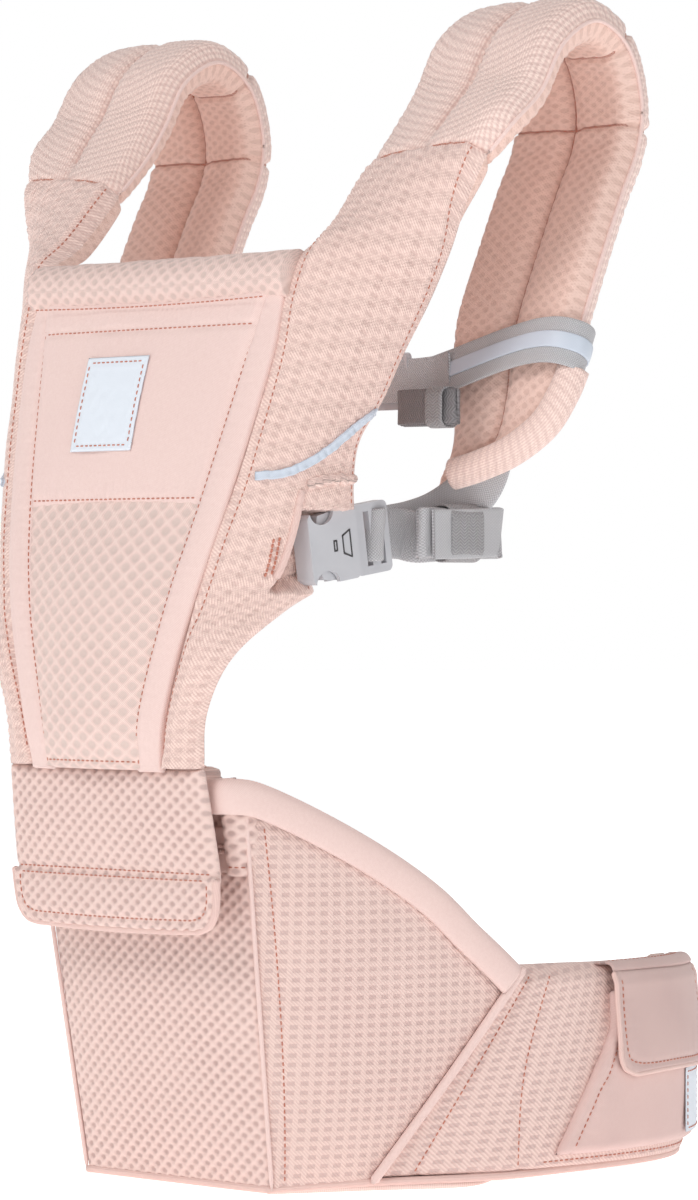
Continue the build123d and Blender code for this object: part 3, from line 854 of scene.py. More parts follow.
def seat_side(side, word):
    edges = [mirrored(curve(e, k), side) for e, k in (
        (SIDE_LOW, 30), (SIDE_TOP, 30), ([SIDE_LOW[0], SIDE_TOP[0]], 40), (DIAGONAL, 40))]
    out = WALL_OUT * [side, 1, 1]
    outer = coons(*edges)
    inner = thick(outer, out, 4)
    pad(f"seat_{word}_side", crowned(outer, out, 8), inner, squares, "hip_seat", relief=square_relief,
        seams=[[(0.13, 0.02), (0.055, 0.9)]], replaces=(f"seat_{word}_cover",), fill=0.7, back=lining,
        flat=(WALL_ALONG * [side, 1, 1], np.array([0, 0, 1])))
    tube(f"seat_{word}_corner_seam", mirrored(curve([(65.4, -54.4, 2), (75.4, -82.4, 196)], 40), side), 1.1,
         woven, "hip_seat")
    tube(f"seat_{word}_diagonal_piping", mirrored(curve(DIAGONAL, 60) + WALL_OUT * 2.2, side), 2.3, woven,
         "hip_seat")


def seat_band(side, word):
    """The smooth facing of the seat's top edge. It turns the front corner and folds onto the deck."""
    line = curve([(54, -89.5, 198.5), (64, -89, 198.5), (71, -86.5, 198.5)] + SIDE_TOP[1:], 60)
    ahead = unit(np.gradient(line, axis=0))
    out = unit(np.stack([ahead[:, 1], -ahead[:, 0], 0 * ahead[:, 0]], 1))
    down = unit(np.cross(ahead, out))
    down *= -np.sign(down[:, 2:])
    profile = [(3.2, 17), (4.6, 14.5), (5.2, 9), (4.6, 4), (2.6, 0.9), (-1, -0.4), (-7, -0.4), (-13, 0.8)]
    outer = mirrored(np.stack([line + out * n + down * d for n, d in profile], 0), side)
    away = mirrored(out, side) + [0, 0, 0.5]
    pad(f"seat_{word}_edge_band", outer, thick(outer, away, 2.4), woven, "hip_seat", rim=1.2, step=1.6,
        replaces=(f"seat_{word}_band",), fill=0.2, slot="smooth_fabric", seams=[[(0.9, 0.02), (0.9, 0.98)]],
        pucker=0.1)


def seat_inside():
    side = curve(SIDE_TOP, 40)
    arc = waist(np.linspace(-PAD_ANGLE, PAD_ANGLE, 40), BELT_TOP)
    back = curve(np.vstack([[(-121, 60, BELT_TOP)], arc, [(121, 60, BELT_TOP)]]), 40)
    deck = coons(curve([(-75, -82, 198), (75, -82, 198)], 40), back, mirrored(side, -1), side) - [0, 0, 2.5]
    pad("seat_deck", crowned(deck, (0, 0.3, 1), 3), thick(deck, (0, 0.3, 1), 4), roll_mesh, "hip_seat",
        relief=roll_relief, replaces=("seat_deck_cover",), fill=0.7, step=1.8, back=lining,
        flat=(np.array([1, 0, 0]), np.array([0, 0.8, -0.6])), slot="smooth_fabric")
    turn, z = np.linspace(-PAD_ANGLE, PAD_ANGLE, 40)[:, None], np.linspace(3, BELT_TOP + 2, 24)[None]
    pad("seat_back_pad_cover", waist(turn, z), waist(turn, z, 14), knit, "hip_seat", rim=(3, 3, 7, 7),
        relief=ridge_relief, replaces=("seat_back_pad",), slot="lining_fabric", fill=0.8, step=1.8,
        seams=[[(s, 0.06), (s, 0.94)] for s in (0.2, 0.4, 0.6, 0.8)], groove=2.5)
    edge = curve([(65, -54, 0), (87, -10, 0), (110, 38, 0), (84, 89, 0)], 30)
    floor = coons(curve([(-65, -54, 0), (65, -54, 0)], 40), waist(np.linspace(-PAD_ANGLE, PAD_ANGLE, 40), 0),
                  mirrored(edge, -1), edge)
    pad("seat_underside", floor + [0, 0, 0.2], floor + [0, 0, 4], lining, "hip_seat", step=2.2,
        replaces=("seat_base_cover",), slot="lining_fabric", fill=0.3, rim=2)


def seat_zip():
    tape_low, tape_high = box("zip_tape")
    z, y = (tape_low[2] + tape_high[2]) / 2, tape_low[1]
    reach = tape_high[0]
    tape = strip("zip_tape_cloth", [(-reach, y + 0.9, z), (reach, y + 0.9, z)], (0, -0.14, 1), 22, 1.2,
                 hook_tape, "hip_seat", slot="fastener")
    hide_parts("zip_tape")
    teeth = np.arange(-reach + 4, reach - 4, 2.0)
    runs = []
    for row, shift in ((-1.3, 0.0), (1.3, 1.0)):
        for x in teeth + shift:
            ends = np.array([[x, y - 0.3, z + row - 1.6], [x, y - 0.3, z + row + 1.6]])
            runs.append((ends, np.array([[0, -1.0, 0]] * 2)))
    piece = add_stitches("zip_teeth_moulded", runs, "hip_seat", zip_plastic, 0.75, pitch=1.6)
    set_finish(piece, "zip_plastic")
    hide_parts("zip_teeth")


# -------- the waist belt and its pouch

BELT_LOW = [(87, -10, 4), (118, 45, 5), (129, 95, 6), (127, 145, 6), (117, 178, 6), (98, 203, 6),
            (76, 219, 7)]
BELT_HIGH = [(121, 60, 105), (127, 85, 106), (130, 108, 106), (127, 145, 106), (117, 178, 105),
             (98, 203, 104), (76, 219, 100)]


def belt_wing(side, word):
    rows = np.linspace(0, 1, 24)[None, :, None]
    low_line, high_line = (weights(len(line), 60) @ np.array(line) for line in (BELT_LOW, BELT_HIGH))
    outer = low_line[:, None] * (1 - rows) + high_line[:, None] * rows
    turn = np.linspace(PAD_ANGLE - 2, 136, 60)[:, None]
    inner = waist(turn, np.linspace(5, BELT_TOP, 24)[None])
    outer = crowned(outer, (1, 0.4, 0), 3, 3.0)
    seams = [[(0.05, 0.03), (0.05, 0.97)], [(0.2, 0.03), (0.15, 0.5), (0.12, 0.97)],
             [(0.24, 0.05), (0.9, 0.05)], [(0.62, 0.93), (0.96, 0.93), (0.96, 0.06)]]
    outer, inner = mirrored(outer, side), mirrored(inner, side)
    pad(f"belt_{word}_wing_cover", outer, inner, squares, "hip_seat", relief=square_relief, back=knit,
        rim=(0, 5, 4, 9), seams=seams, replaces=(f"belt_{word}_wing",), fill=0.75, step=1.5,
        back_relief=ridge_relief)


def base_binding():
    half = [(0, -54.5, 2.4), (58, -54, 2.4), (65, -51, 2.6), (86.5, -10, 4.2), (116, 44.5, 5.0),
            (126, 95, 6.2), (124, 145, 6.4), (114, 177, 6.4), (96, 201, 6.4), (76, 216, 7)]
    whole = [(-x, y, z) for x, y, z in half[:0:-1]] + half
    tube("base_binding", whole, 1.9, binding, "hip_seat", count=260)


def belt_wall(y, off):
    """Points `off` outside the left wing's outer face, at given y."""
    line = curve([(121, 60), (129, 95), (130, 108), (127, 145), (117, 178), (98, 203), (76, 219)], 300)
    at = np.interp(y, line[:, 1], np.arange(300))
    ahead = unit(np.gradient(line, axis=0))
    x = np.interp(at, np.arange(300), line[:, 0])
    out_x = np.interp(at, np.arange(300), ahead[:, 1])
    out_y = -np.interp(at, np.arange(300), ahead[:, 0])
    return x + out_x * off, y + out_y * off


def wall_grid(y, off, z):
    """A grid on the left wing's outer face, `off` outside it."""
    return grid_of(*belt_wall(y, off), z)


def flap_hem(face, points):
    """The line down one side of a flap, along its free edge and up the other side."""
    hem = np.concatenate([face[0, ::-1], face[1:-1, 0], face[-1]])
    return hem[:: max(1, len(hem) // points)]


def pouch():
    base, top = low("pouch_body")[2], high("pouch_body")[2]
    s, t = np.linspace(0, 1, 36)[:, None], np.linspace(0, 1, 24)[None]
    z = base + (top - base) * t
    front = np.interp(z, (14, 74), (76, 110))
    y = front + (197 - front) * s
    belly = 1.6 * np.sin(math.pi * t) * np.sin(math.pi * s)
    pad("pouch_cloth", wall_grid(y, 8.6 - 3 * smooth(0.3, 1, s) + belly, z), wall_grid(y, 0.6 + 0 * belly, z),
        pouch_shaded_woven, "hip_seat", rim=(4, 4, 5, 2), seams=[[(0.06, 0.03), (0.06, 0.97)]], fill=0.35,
        pucker=0.5, replaces=("pouch_body",), slot="smooth_fabric",
        shape=lambda u, v: 0.35 * ripple(u / 9, 1) * ripple(v / 11, 2))
    flap_low, flap_high = low("pouch_flap")[2] - 1, high("pouch_flap")[2] + 1
    corner = 12
    rise = (flap_high - flap_low) * t
    narrow = corner * (1 - np.sqrt(1 - (1 - np.clip(rise / corner, 0, 1)) ** 2))
    y = 108 + narrow + (200 - 14 * t - 108 - 2 * narrow) * s
    over = smooth(0.86, 1, t)
    z = flap_low + rise + 1.2 * np.sin(math.pi * s) * (1 - t) - 0.4 * over
    hang = 13.0 - 2.6 * smooth(0.2, 0.9, t) - 2.0 * over - 2.5 * smooth(0.4, 1, s)
    seam = [(0.05, 0.95), (0.05, 0.28), (0.13, 0.1), (0.5, 0.08), (0.87, 0.1), (0.95, 0.28), (0.95, 0.95)]
    _, face, _ = pad("pouch_flap_cloth", wall_grid(y, hang, z), wall_grid(y, hang - 2.2, z), flap_shaded_woven,
                     "pouch_flap", rim=1.2, replaces=("pouch_flap",), slot="smooth_fabric", fill=0.2,
                     pucker=0.35, seams=[seam])
    tube("pouch_flap_binding", curve(flap_hem(face, 60), 200), 1.3, binding, "pouch_flap")
    y = np.linspace(108, 186, 24)[:, None]
    off, z = np.array([(7.6, 101.6), (6.6, 104.0), (4.4, 106.0), (1, 106.6), (-6, 106)]).T
    root = wall_grid(y, off - 2.2 * smooth(147, 206, y), z)
    pad("pouch_flap_root", root, thick(root, (0, 0, 1), 1.8), flap_shaded_woven, "hip_seat", rim=(1, 1, 0.8, 0.8),
        fill=0.2, slot="smooth_fabric", seams=[[(0.03, 0.8), (0.97, 0.8)]], pucker=0.1)
    tape_low, tape_high = box("pouch_fastener")
    y = np.linspace(tape_low[1], tape_high[1], 12)[:, None]
    tape = wall_grid(y, 9.4 - 3 * smooth(137, 205, y), np.linspace(tape_low[2], tape_high[2], 6))
    pad("pouch_hook_tape", tape, thick(tape, (1, 0, 0), 1.4), hook_tape, "hip_seat", rim=0.6, slot="fastener",
        replaces=("pouch_fastener",), fill=0.1)
    y = np.linspace(168, 198, 12)[:, None]
    blank_label("pouch_label", wall_grid(y, 10.4 - 3 * smooth(137, 205, y), np.linspace(18, 50, 6)),
                (1, 0, 0), "hip_seat")


def blank_label(name, grid, away, body, **more):
    """A woven patch with nothing on it, sewn round its edge."""
    inset = [(0.06, 0.06), (0.94, 0.06), (0.94, 0.94), (0.06, 0.94), (0.06, 0.06)]
    seams = [inset[k: k + 2] for k in range(4)]
    return pad(name, grid, thick(grid, away, 1.1), label_cloth, body, rim=0.5, step=0.8,
               seams=seams, groove=0.3, pucker=0.05, slot="label_cloth", fill=0.1, **more)


# -------- the front panel

PANEL_LOW, PANEL_HIGH = low("panel_mesh")[2] - 1.5, high("hood_pocket")[2]
face_y = by_height([(-107, 204), (-109, 230), (-103.5, 283), (-92, 332), (-74, 400), (-66, 430)])
strip_in = by_height([(31, 204), (33, 230), (47, 283), (59, 332), (72, 405), (76, 430)])
strip_out = by_height([(45, 204), (50, 230), (65, 283), (77, 332), (87, 395), (87, 430)])
HEM_Z = low("hood_pocket")[2] - 4


def panel_sheet(z_low, z_high, half, forward):
    """A sheet over the panel's front, `forward` in front of it, as wide as half(z) each way."""
    s, t = sheet_axes(30, 40)
    z = z_low + (z_high - z_low) * t
    return grid_of(s * half(z), face_y(z) - forward(s, t), z)


def under_strips(z):
    """Half the width of the cloth that the side strips are sewn over."""
    return strip_in(z) + 3


def panel_front():
    upright = (np.array([1, 0, 0]), np.array([0, -0.17, 0.985]))

    def dome(s, t):
        return 3 + 6.5 * (1 - s**2) * np.sin(math.pi * (0.12 + 0.8 * t)) ** 0.7

    def puff(s, t):
        return 4.6 + 4.4 * (1 - np.abs(s) ** 2.2) * np.sin(math.pi * np.clip(0.06 + 0.97 * t, 0, 1)) ** 0.6

    outer = panel_sheet(PANEL_LOW, HEM_Z + 4, under_strips, dome)
    pad("panel_centre", outer, outer + [0, 6, 0], lattice, "panel", relief=lattice_relief, back=lining,
        replaces=("panel_mesh",), fill=0.4, flat=upright, rim=2, seams=[[(0.02, 0.03), (0.98, 0.03)]])
    outer = panel_sheet(HEM_Z, PANEL_HIGH + 7, under_strips, puff)
    inner = panel_sheet(HEM_Z, PANEL_HIGH + 7, under_strips, lambda s, t: 1.0 + 0 * s * t)
    a, b = inflate(*rounded_faces(outer, inner, (3, 3, 3, 3)), held_points(outer.shape, columns=(1, -5)),
                   pressure=1.2, limit=2.5)
    pad("hood_pocket_cloth", a, b, woven, "panel", rim=0, slot="smooth_fabric", fill=0.5, pucker=0.4,
        seams=[[(0.02, 0.03), (0.98, 0.03)], [(0.02, 0.83), (0.98, 0.83)]], flat=upright,
        replaces=("hood_pocket", "stowed_hood"), shape=lambda u, v: 0.55 * ripple(u / 15 + v / 34, 3))
    patch_low, patch_high = box("label_patch")
    x = np.linspace(patch_low[0] + 4, patch_high[0] + 7, 14)
    z = np.linspace(patch_low[2] - 2.5, patch_high[2] - 3.5, 14)
    blank_label("front_label", grid_of(x[:, None], surface_y(a, x, z) - 1.6, z), (0, -1, 0), "panel",
                replaces=("label_patch",))


def surface_y(grid, xs, zs):
    """How far forward a front-facing grid lies at each x and z."""
    flat = grid.reshape(-1, 3)
    found = np.zeros((len(xs), len(zs)))
    for i, x in enumerate(xs):
        for k, z in enumerate(zs):
            gap = (flat[:, 0] - x) ** 2 + (flat[:, 2] - z) ** 2
            near = np.argsort(gap)[:4]
            share = 1 / (gap[near] + 0.5)
            found[i, k] = np.sum(flat[near, 1] * share) / np.sum(share)
    return found


def panel_strip(side, word):
    z = np.linspace(PANEL_LOW - 1, PANEL_HIGH + 8, 60)
    edges = [np.stack([x(z) + shift, face_y(z) - forward, z], 1) for x, shift, forward in (
        (strip_in, -1, 3.6), (strip_out, 1, 1.6))]
    rows = np.linspace(0, 1, 9)[:, None, None]
    outer = mirrored(edges[0][None] * (1 - rows) + edges[1][None] * rows, side)
    outer = crowned(outer, (0, -1, 0), 2.4, 2.2)
    pad(f"panel_{word}_strip_cloth", outer, thick(outer, (0, -1, 0), 6), woven, "panel", rim=(2, 2, 1, 1),
        seams=[[(0.12, 0.01), (0.12, 0.99)]], replaces=(f"panel_{word}_strip",), slot="smooth_fabric",
        fill=0.6, step=1.1, pucker=0.35, groove=0.9)


def panel_back():
    front = panel_sheet(PANEL_LOW, PANEL_HIGH + 4, lambda z: strip_out(z) + 1, lambda s, t: 0 * s * t - 1)
    a, b = inflate(*rounded_faces(front, front + [0, 9, 0], (3, 3, 3, 3)),
                   held_points(front.shape, columns=(13, 26)), pressure=1.0, limit=2.0)
    pad("panel_lining", b, a, knit, "panel", rim=0, replaces=("panel_liner",), slot="lining_fabric", fill=0.6,
        step=1.8, relief=ridge_relief, groove=1.6,
        seams=[[(0.03, 0.333), (0.97, 0.333)], [(0.03, 0.667), (0.97, 0.667)]])


ROLL_SIDES = 72


def neck_roll():
    """The padded roll along the panel's top edge: a tube of diamond mesh."""
    box_low, box_high = box("neck_roll")
    centre = (box_low + box_high) / 2
    turn = np.linspace(0, 2 * math.pi, ROLL_SIDES + 1)
    x = np.linspace(box_low[0] - 2, box_high[0] + 2, 130)
    sag = -1.5 * np.cos(x / 88 * math.pi / 2)
    tall, deep = 13.5 + 0.5 * np.cos(x / 30), 12.5 + 2 * np.cos(x / 88 * math.pi / 2)
    u = turn[None] * 12
    lift = roll_relief(x[:, None], u) + 0.3 * ripple(x[:, None] / 9, 2)
    z = centre[2] - 3 + sag[:, None] + np.sin(turn)[None] * (tall[:, None] + lift)
    y = centre[1] - np.cos(turn)[None] * (deep[:, None] + lift) - 6.5
    grid = grid_of(x[:, None], y, z)
    ends = [grid[k].mean(0) for k in (0, -1)]
    index = np.arange(grid.shape[0] * ROLL_SIDES).reshape(-1, ROLL_SIDES)
    index = np.hstack([index, index[:, :1]])
    points = np.vstack([grid[:, :ROLL_SIDES].reshape(-1, 3), ends])
    faces = quads(index)
    faces += [[int(index[0, k]), int(index[0, k + 1]), len(points) - 2] for k in range(ROLL_SIDES)]
    faces += [[int(index[-1, k + 1]), int(index[-1, k]), len(points) - 1] for k in range(ROLL_SIDES)]
    uv = grid_of(x[:, None], u[:, :ROLL_SIDES]).reshape(-1, 2)
    piece = make("neck_roll_cloth", points, faces, roll_mesh, "panel", np.vstack([uv, [[0, 0], [0, 0]]]))
    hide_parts("neck_roll")
    z = centre[2] - 12.5 + sag
    seam = np.stack([x, face_y(z) - 8.4, z], 1)[6:-6]
    add_stitches("neck_roll_seam", [(seam, np.tile([0.0, -1, -0.3], (len(seam), 1)))], "panel")


# -------- side wings and shoulder straps

# Stations along a pad: a point on each edge, its thickness, and how far its middle is bowed out.
WING = [((45, -107, 204), (67, -100, 204), 5, 3), ((50, -108, 230), (69, -100, 230), 6, 3),
        ((59, -107, 258), (80, -94, 256), 7, 4), ((63.5, -105, 275), (88, -67, 278), 9, 7),
        ((67, -102, 292), (101, -44, 295), 10, 9), ((72, -98, 312), (103, -37, 315), 10, 10),
        ((78, -91, 336), (103, -37, 338), 10, 10), ((82, -85, 358), (107, -37, 358), 10, 9),
        ((85, -79, 380), (114, -28, 378), 10, 8), ((87, -73, 402), (121, -21, 400), 11, 8),
        ((87, -67, 426), (131, -14, 424), 12, 7), ((89, -58, 446), (141, -10, 448), 14, 6),
        ((90, -38, 458), (150, -10, 468), 18, 4), ((90, -14, 482), (160, -8, 488), 19, 3),
        ((93, -8.5, 487.5), (159, -3.5, 493), 13, 3)]
STRAP_X = (91, 171)
STRAP_DEPTH = 22
STRAP_ARCH = [(36, 547), (60, 559), (82, 547), (91, 522), (88, 500), (77, 478), (64, 450), (50, 418)]
STRAP = ([((92, -14, 482), (158, -8, 488), 19, 3), ((91, 9, 506), (169, 3, 507), 21, 2),
          ((91, 22, 524), (171, 20, 523), 22, 2)]
         + [((STRAP_X[0], y, z), (STRAP_X[1], y, z), STRAP_DEPTH, 2) for y, z in STRAP_ARCH]
         + [((95, 41, 397), (171, 42, 397), 17, 1), ((98, 38, 380), (169, 38, 381), 15, 1),
            ((101, 35, 362), (161, 36, 364), 13, 0), ((100, 32, 349), (149, 34, 354), 12, 0),
            ((96, 28, 338), (138, 32, 348), 11, 0)])
# How far along the pad its two cross seams lie, 0 to 1.
STRAP_CREASES = (0.325, 0.435)


def station_faces(stations, n, m, pinch=0.0):
    """Outer and inner grids of a pad that runs through stations (edge, edge, thickness, crown)."""
    table = np.array([[*a, *b, t, c] for a, b, t, c in stations], float)
    rows = weights(len(table), m) @ table
    a, b, depth, crown = rows[:, :3], rows[:, 3:6], rows[:, 6], rows[:, 7]
    s = np.linspace(0, 1, n)[:, None, None]
    ahead = unit(np.gradient((a + b) / 2, axis=0))
    out = unit(np.cross(b - a, ahead))
    waist_line = 1 - pinch * np.exp(-(((s - 0.5) / 0.07) ** 2))
    middle = a[None] + (b - a)[None] * s + out[None] * crown[None, :, None] * (1 - (2 * s - 1) ** 2)
    half = out[None] * depth[None, :, None] / 2 * waist_line
    return middle + half, middle - half


# Between these heights each wing has a sleeve that its buckle's webbing passes through.
SLEEVE_Z = (286, 326)


def side_wing(side, word):
    n, m = 19, 60
    outer, inner = station_faces(WING, n, m)
    softer = 4 + 4 * smooth(0.72, 1, np.linspace(0, 1, m))
    a, b = rounded_faces(outer, inner, (softer, softer, 0, 4))
    a, b = inflate(a, b, held_points((n, m), rows=(1,)), pressure=1.4, limit=3.0)
    bottom, top = SLEEVE_Z

    def sleeve(s, points):
        inside = smooth(0.5, 0.56, s) * smooth(bottom, bottom + 2.5, points[..., 2])
        return -13.0 * inside * smooth(top, top - 2.5, points[..., 2])

    seams = [[(0.045, 0.02), (0.045, 0.97)], [(0.94, 0.25), (0.955, 0.5), (0.95, 0.97)]]
    tack = [[(0.36, 0.358), (0.40, 0.285)], [(0.40, 0.36), (0.44, 0.287)]]
    _, face, normals = pad(f"wing_{word}_cloth", mirrored(a, side), mirrored(b, side), wing_knit, "panel",
                           back=knit, rim=0, seams=seams, replaces=(f"wing_{word}",), fill=0.6, step=1.2,
                           relief=faint_relief, dent=sleeve, pucker=0.4)
    runs = [on_face(face, normals, line, 40) for line in tack]
    add_stitches(f"wing_{word}_bar_tack", runs, "panel", radius=0.6, pitch=2.4)
    path, up = on_face(face, normals, [(0.09, 0.446), (0.35, 0.455), (0.7, 0.495), (0.97, 0.55)], 60)
    strip(f"wing_{word}_reflective_piping", path + up * 0.9, np.cross(np.gradient(path, axis=0), up), 4.2,
          2.2, reflective, "panel", slot="label_cloth", crown=0.6)
    path, up = on_face(face, normals, [(0.48, 0.285), (0.485, 0.36), (0.48, 0.425)], 40)
    tube(f"wing_{word}_sleeve_edge", path + up * 0.3, 1.8, binding, "panel")
    path, up = on_face(face, normals, [(0.52, 0.432), (0.7, 0.44), (0.985, 0.436)], 50)
    tube(f"wing_{word}_sleeve_roll", path - up * 1.6, 4.0, wing_knit, "panel", flat=0.7)


def shoulder_strap(side, word):
    n, m = 21, 110
    outer, inner = station_faces(STRAP, n, m, pinch=0.35)
    a, b = rounded_faces(outer, inner, (11, 11, 3, 6))
    sewn = held_points((n, m), columns=[round(t * (m - 1)) for t in STRAP_CREASES])
    sewn[n // 2, 4:-8] = True
    a, b = inflate(a, b, sewn, pressure=2.2, limit=3.5)
    seams = [[(0.5, 0.05), (0.5, 0.93)], [(0.02, 0.012), (0.98, 0.012)]]
    seams += [[(0.03, t), (0.97, t)] for t in STRAP_CREASES]
    pad(f"strap_{word}_cloth", mirrored(a, side), mirrored(b, side), ridged, "panel", back=knit, rim=0,
        seams=seams, groove=2.4, pucker=0.9, relief=ridge_relief, back_seams=True, shadow_seams=True, centred=True,
        fill=0.8, step=1.5, replaces=(f"{word}_strap_cover", f"{word}_strap_foam"), back_relief=roll_relief)
    fold = [(174, 40, 394), (171, 35.5, 381), (163, 30.5, 366), (147, 25.5, 354), (128, 22.5, 347),
            (111, 21, 343)]
    tube(f"strap_{word}_end_roll", mirrored(fold, side), 7.8, ridged, "panel", flat=0.75,
         up=(side * 0.7, -0.7, 0.2), sides=20, count=60)
    for row, place in ((0, "inner"), (-1, "outer")):
        edge = mirrored((a[row] + b[row]) / 2, side)
        tube(f"strap_{word}_edge_seam_{place}", edge[2:-3], 1.0, woven, "panel", count=220)


# -------- webbing and buckles

FOLD_LAYERS = 4
BELT_WEB = 40


def steps_from(origin, *steps, side=1):
    """Points given as steps from an origin; side -1 mirrors them."""
    return mirrored(np.array(origin) + np.array(steps), side)


def strap_webbing(side, word):
    """The webbing from the pad's end to the buckle, and its spare length folded under a keeper."""
    insert_low, insert_high = box(f"{word}_buckle_insert")
    end_y, z = insert_high[1], (insert_low[2] + insert_high[2]) / 2 + 2
    x = abs(insert_low[0] + insert_high[0]) / 2
    rear = (x, end_y, z)
    roll_low, roll_high = box(f"{word}_webbing_roll")
    inner, outer = sorted((abs(roll_low[0]), abs(roll_high[0])))
    path = steps_from(rear, (-0.5, -6.2, 0), (-3.6, -2.5, 0.4), (-4, 5, 1.5), (-1, 18, 4), (4, 31, 9),
                      (12, 41, 18), (19, 44, 28), (23, 47, 46), side=side)
    twist = [(0, 0.1, 1)] * 3 + [(0, 0, 1), (-0.2, -0.2, 0.9), (-0.4, -0.4, 0.8), (-0.5, -0.5, 0.7),
                                 (-0.7, -0.7, 0.1)]
    lead = strip(f"{word}_buckle_webbing", path, mirrored(twist, side), 25, 1.6, grey_web, None, crown=0.5)
    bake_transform(lead)
    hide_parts(f"{word}_webbing")
    path = steps_from(rear, (-0.5, -6.2, 0), (3.2, -7.2, 0), (4.6, -10.4, -0.4), (3.2, -13.8, -0.8),
                      (-0.5, -15, -1), (-4, -13, -0.8), (-5.4, -6, 0), (-5.6, 3, 0.6), (-3.4, 9, 0.6),
                      side=side)
    strip(f"{word}_buckle_webbing_turn", path, (0, 0.1, 1), 25, 1.6, grey_web, f"{word}_insert", count=80)
    path = steps_from(rear, (-4.4, 4, 0.6), (-1.5, 11, 0), (4, 15, -1.5), (inner - x + 1, 22, -1),
                      (inner - x + 2, 40, -0.5), side=side)
    tail = strip(f"{word}_webbing_tail", path, (0, 0.1, 1), 24.5, 1.5, grey_web, None, crown=0.6)
    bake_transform(tail)
    gap = (outer - inner - 1.5) / (FOLD_LAYERS - 1)
    near_y, far_y = roll_low[1] + 4, roll_high[1] - 4
    folds = []
    for k in range(FOLD_LAYERS):
        start, stop = (near_y, far_y) if k % 2 == 0 else (far_y, near_y)
        at, bow = inner + 1 + k * gap, 1.2 * (k - 1.5)
        folds += [(at, start, 0.4 * bow), (at + 0.5 * bow, (start + stop) / 2, -0.3), (at, stop, -0.4 * bow)]
        if k < FOLD_LAYERS - 1:
            folds.append((at + gap / 2, stop + math.copysign(3.4, stop - start), 0.2 * bow))
    path = steps_from((0, 0, (roll_low[2] + roll_high[2]) / 2), *folds, side=side)
    roll = strip(f"{word}_folded_webbing", path, (0, 0.12, 1), 24, 1.7, grey_web, "panel", count=200)
    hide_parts(f"{word}_webbing_roll")
    keep_low, keep_high = box(f"{word}_keeper")
    ring = rounded_ring((keep_high - keep_low)[0] / 2 - 1.1, 13.4, 6.5)
    path = steps_from((keep_low + keep_high) / 2, *[(a, 0, c) for a, c in ring])
    keeper = strip(f"{word}_elastic_keeper", path, (0, 1, 0), 22, 1.3, elastic, "panel", closed=True,
                   count=97)
    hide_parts(f"{word}_keeper")


def rounded_ring(half_a, half_b, corner):
    """Points once round a rounded rectangle, starting and ending at its right side."""
    spots = []
    for k, (sa, sb) in enumerate(((1, 1), (-1, 1), (-1, -1), (1, -1))):
        for turn in np.linspace(0, math.pi / 2, 7) + k * math.pi / 2:
            spots.append((sa * (half_a - corner) + corner * math.cos(turn),
                          sb * (half_b - corner) + corner * math.sin(turn)))
    spots.append(spots[0])
    return spots


def chest_strap():
    tilt = unit(np.array([0, 0.4, 0.92]))
    for side, word in SIDES:
        route = [(90, 27, 390), (98, 27.4, 392), (108, 28, 394.5), (120, 29.3, 398), (137, 30.4, 402.5),
                 (156, 31, 406), (170, 33.5, 406), (177.5, 41.5, 402.5), (171, 51, 398), (152, 54, 395),
                 (118, 53, 392), (98, 49.5, 390), (91.5, 42, 389), (89.5, 33, 388.5), (90, 28.5, 388.5),
                 (94, 25.4, 389)]
        route = curve(mirrored(route, side), 160)
        loop = strip(f"chest_{word}_loop_webbing", route, tilt, 24, 1.7, grey_web, "panel", count=160)
        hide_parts(f"chest_{word}_loop")
        shown = route[9:100]
        outward = unit(np.cross(tilt, unit(np.gradient(shown, axis=0)))) * side
        outward *= np.sign(np.sum(outward * (shown - [side * 131, 41, 396])))
        strip(f"chest_{word}_reflective_stripe", shown + outward * 1.2, tilt, 8.5, 0.9, reflective, "panel",
              count=120, slot="label_cloth", crown=0.3)
    web_low, web_high = box("chest_webbing")
    y, z = (web_low[1] + web_high[1]) / 2, (web_low[2] + web_high[2]) / 2
    insert = high("chest_buckle_insert")[0]
    path = steps_from((insert, y, z), (-15, -3.2, 0), (-4, -3.4, 0), (4, 0.5, 0), (12, 4.2, 1), (22, 5.2, 3))
    near = strip("chest_left_webbing", path, (0, 0.2, 1), 22, 1.5, grey_web, None)
    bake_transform(near)
    path = steps_from((insert, y, z), (-15, -3.2, 0), (-18, -2.6, 0), (-19.5, 0, 0), (-18, 2.6, 0),
                      (-14, 3, 0), (-7, 2.6, 0))
    strip("chest_left_webbing_turn", path, (0, 0, 1), 21, 1.5, grey_web, "chest_insert", count=50)
    path = steps_from((0, y, z), (-128, 3.2, 5.5), (-100, 1.2, 3.5), (-78, 0, 1.5), (-40, 0.5, -1.5),
                      (0, 0, -0.5), (web_high[0], 0, 0))
    far = strip("chest_far_webbing", path, (0, 0, 1), 22, 1.7, grey_web, "panel", count=140)
    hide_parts("chest_webbing")
    roll_low, roll_high = box("chest_roll")
    centre = (roll_low + roll_high) / 2 + [11, -2.6, -6]
    turn = np.arange(54) * 2 * math.pi / 14
    shrink = 1.6 * np.arange(54) / 14
    spiral = centre + grid_of((20 - shrink) * np.cos(turn), (4.8 - 0.8 * shrink) * np.sin(turn),
                              0.5 * np.sin(turn / 3))
    tail = strip("chest_rolled_tail", spiral, (-0.1, 0.1, 1), 17, 1.3, dark_web, "panel", count=260)
    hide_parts("chest_roll")
    path = steps_from(centre, *[(9, a, c) for a, c in rounded_ring(5.7, 9.4, 4)])
    strip("chest_tail_keeper", path, (1, 0, 0), 11, 1.2, elastic, "panel", closed=True, count=97)


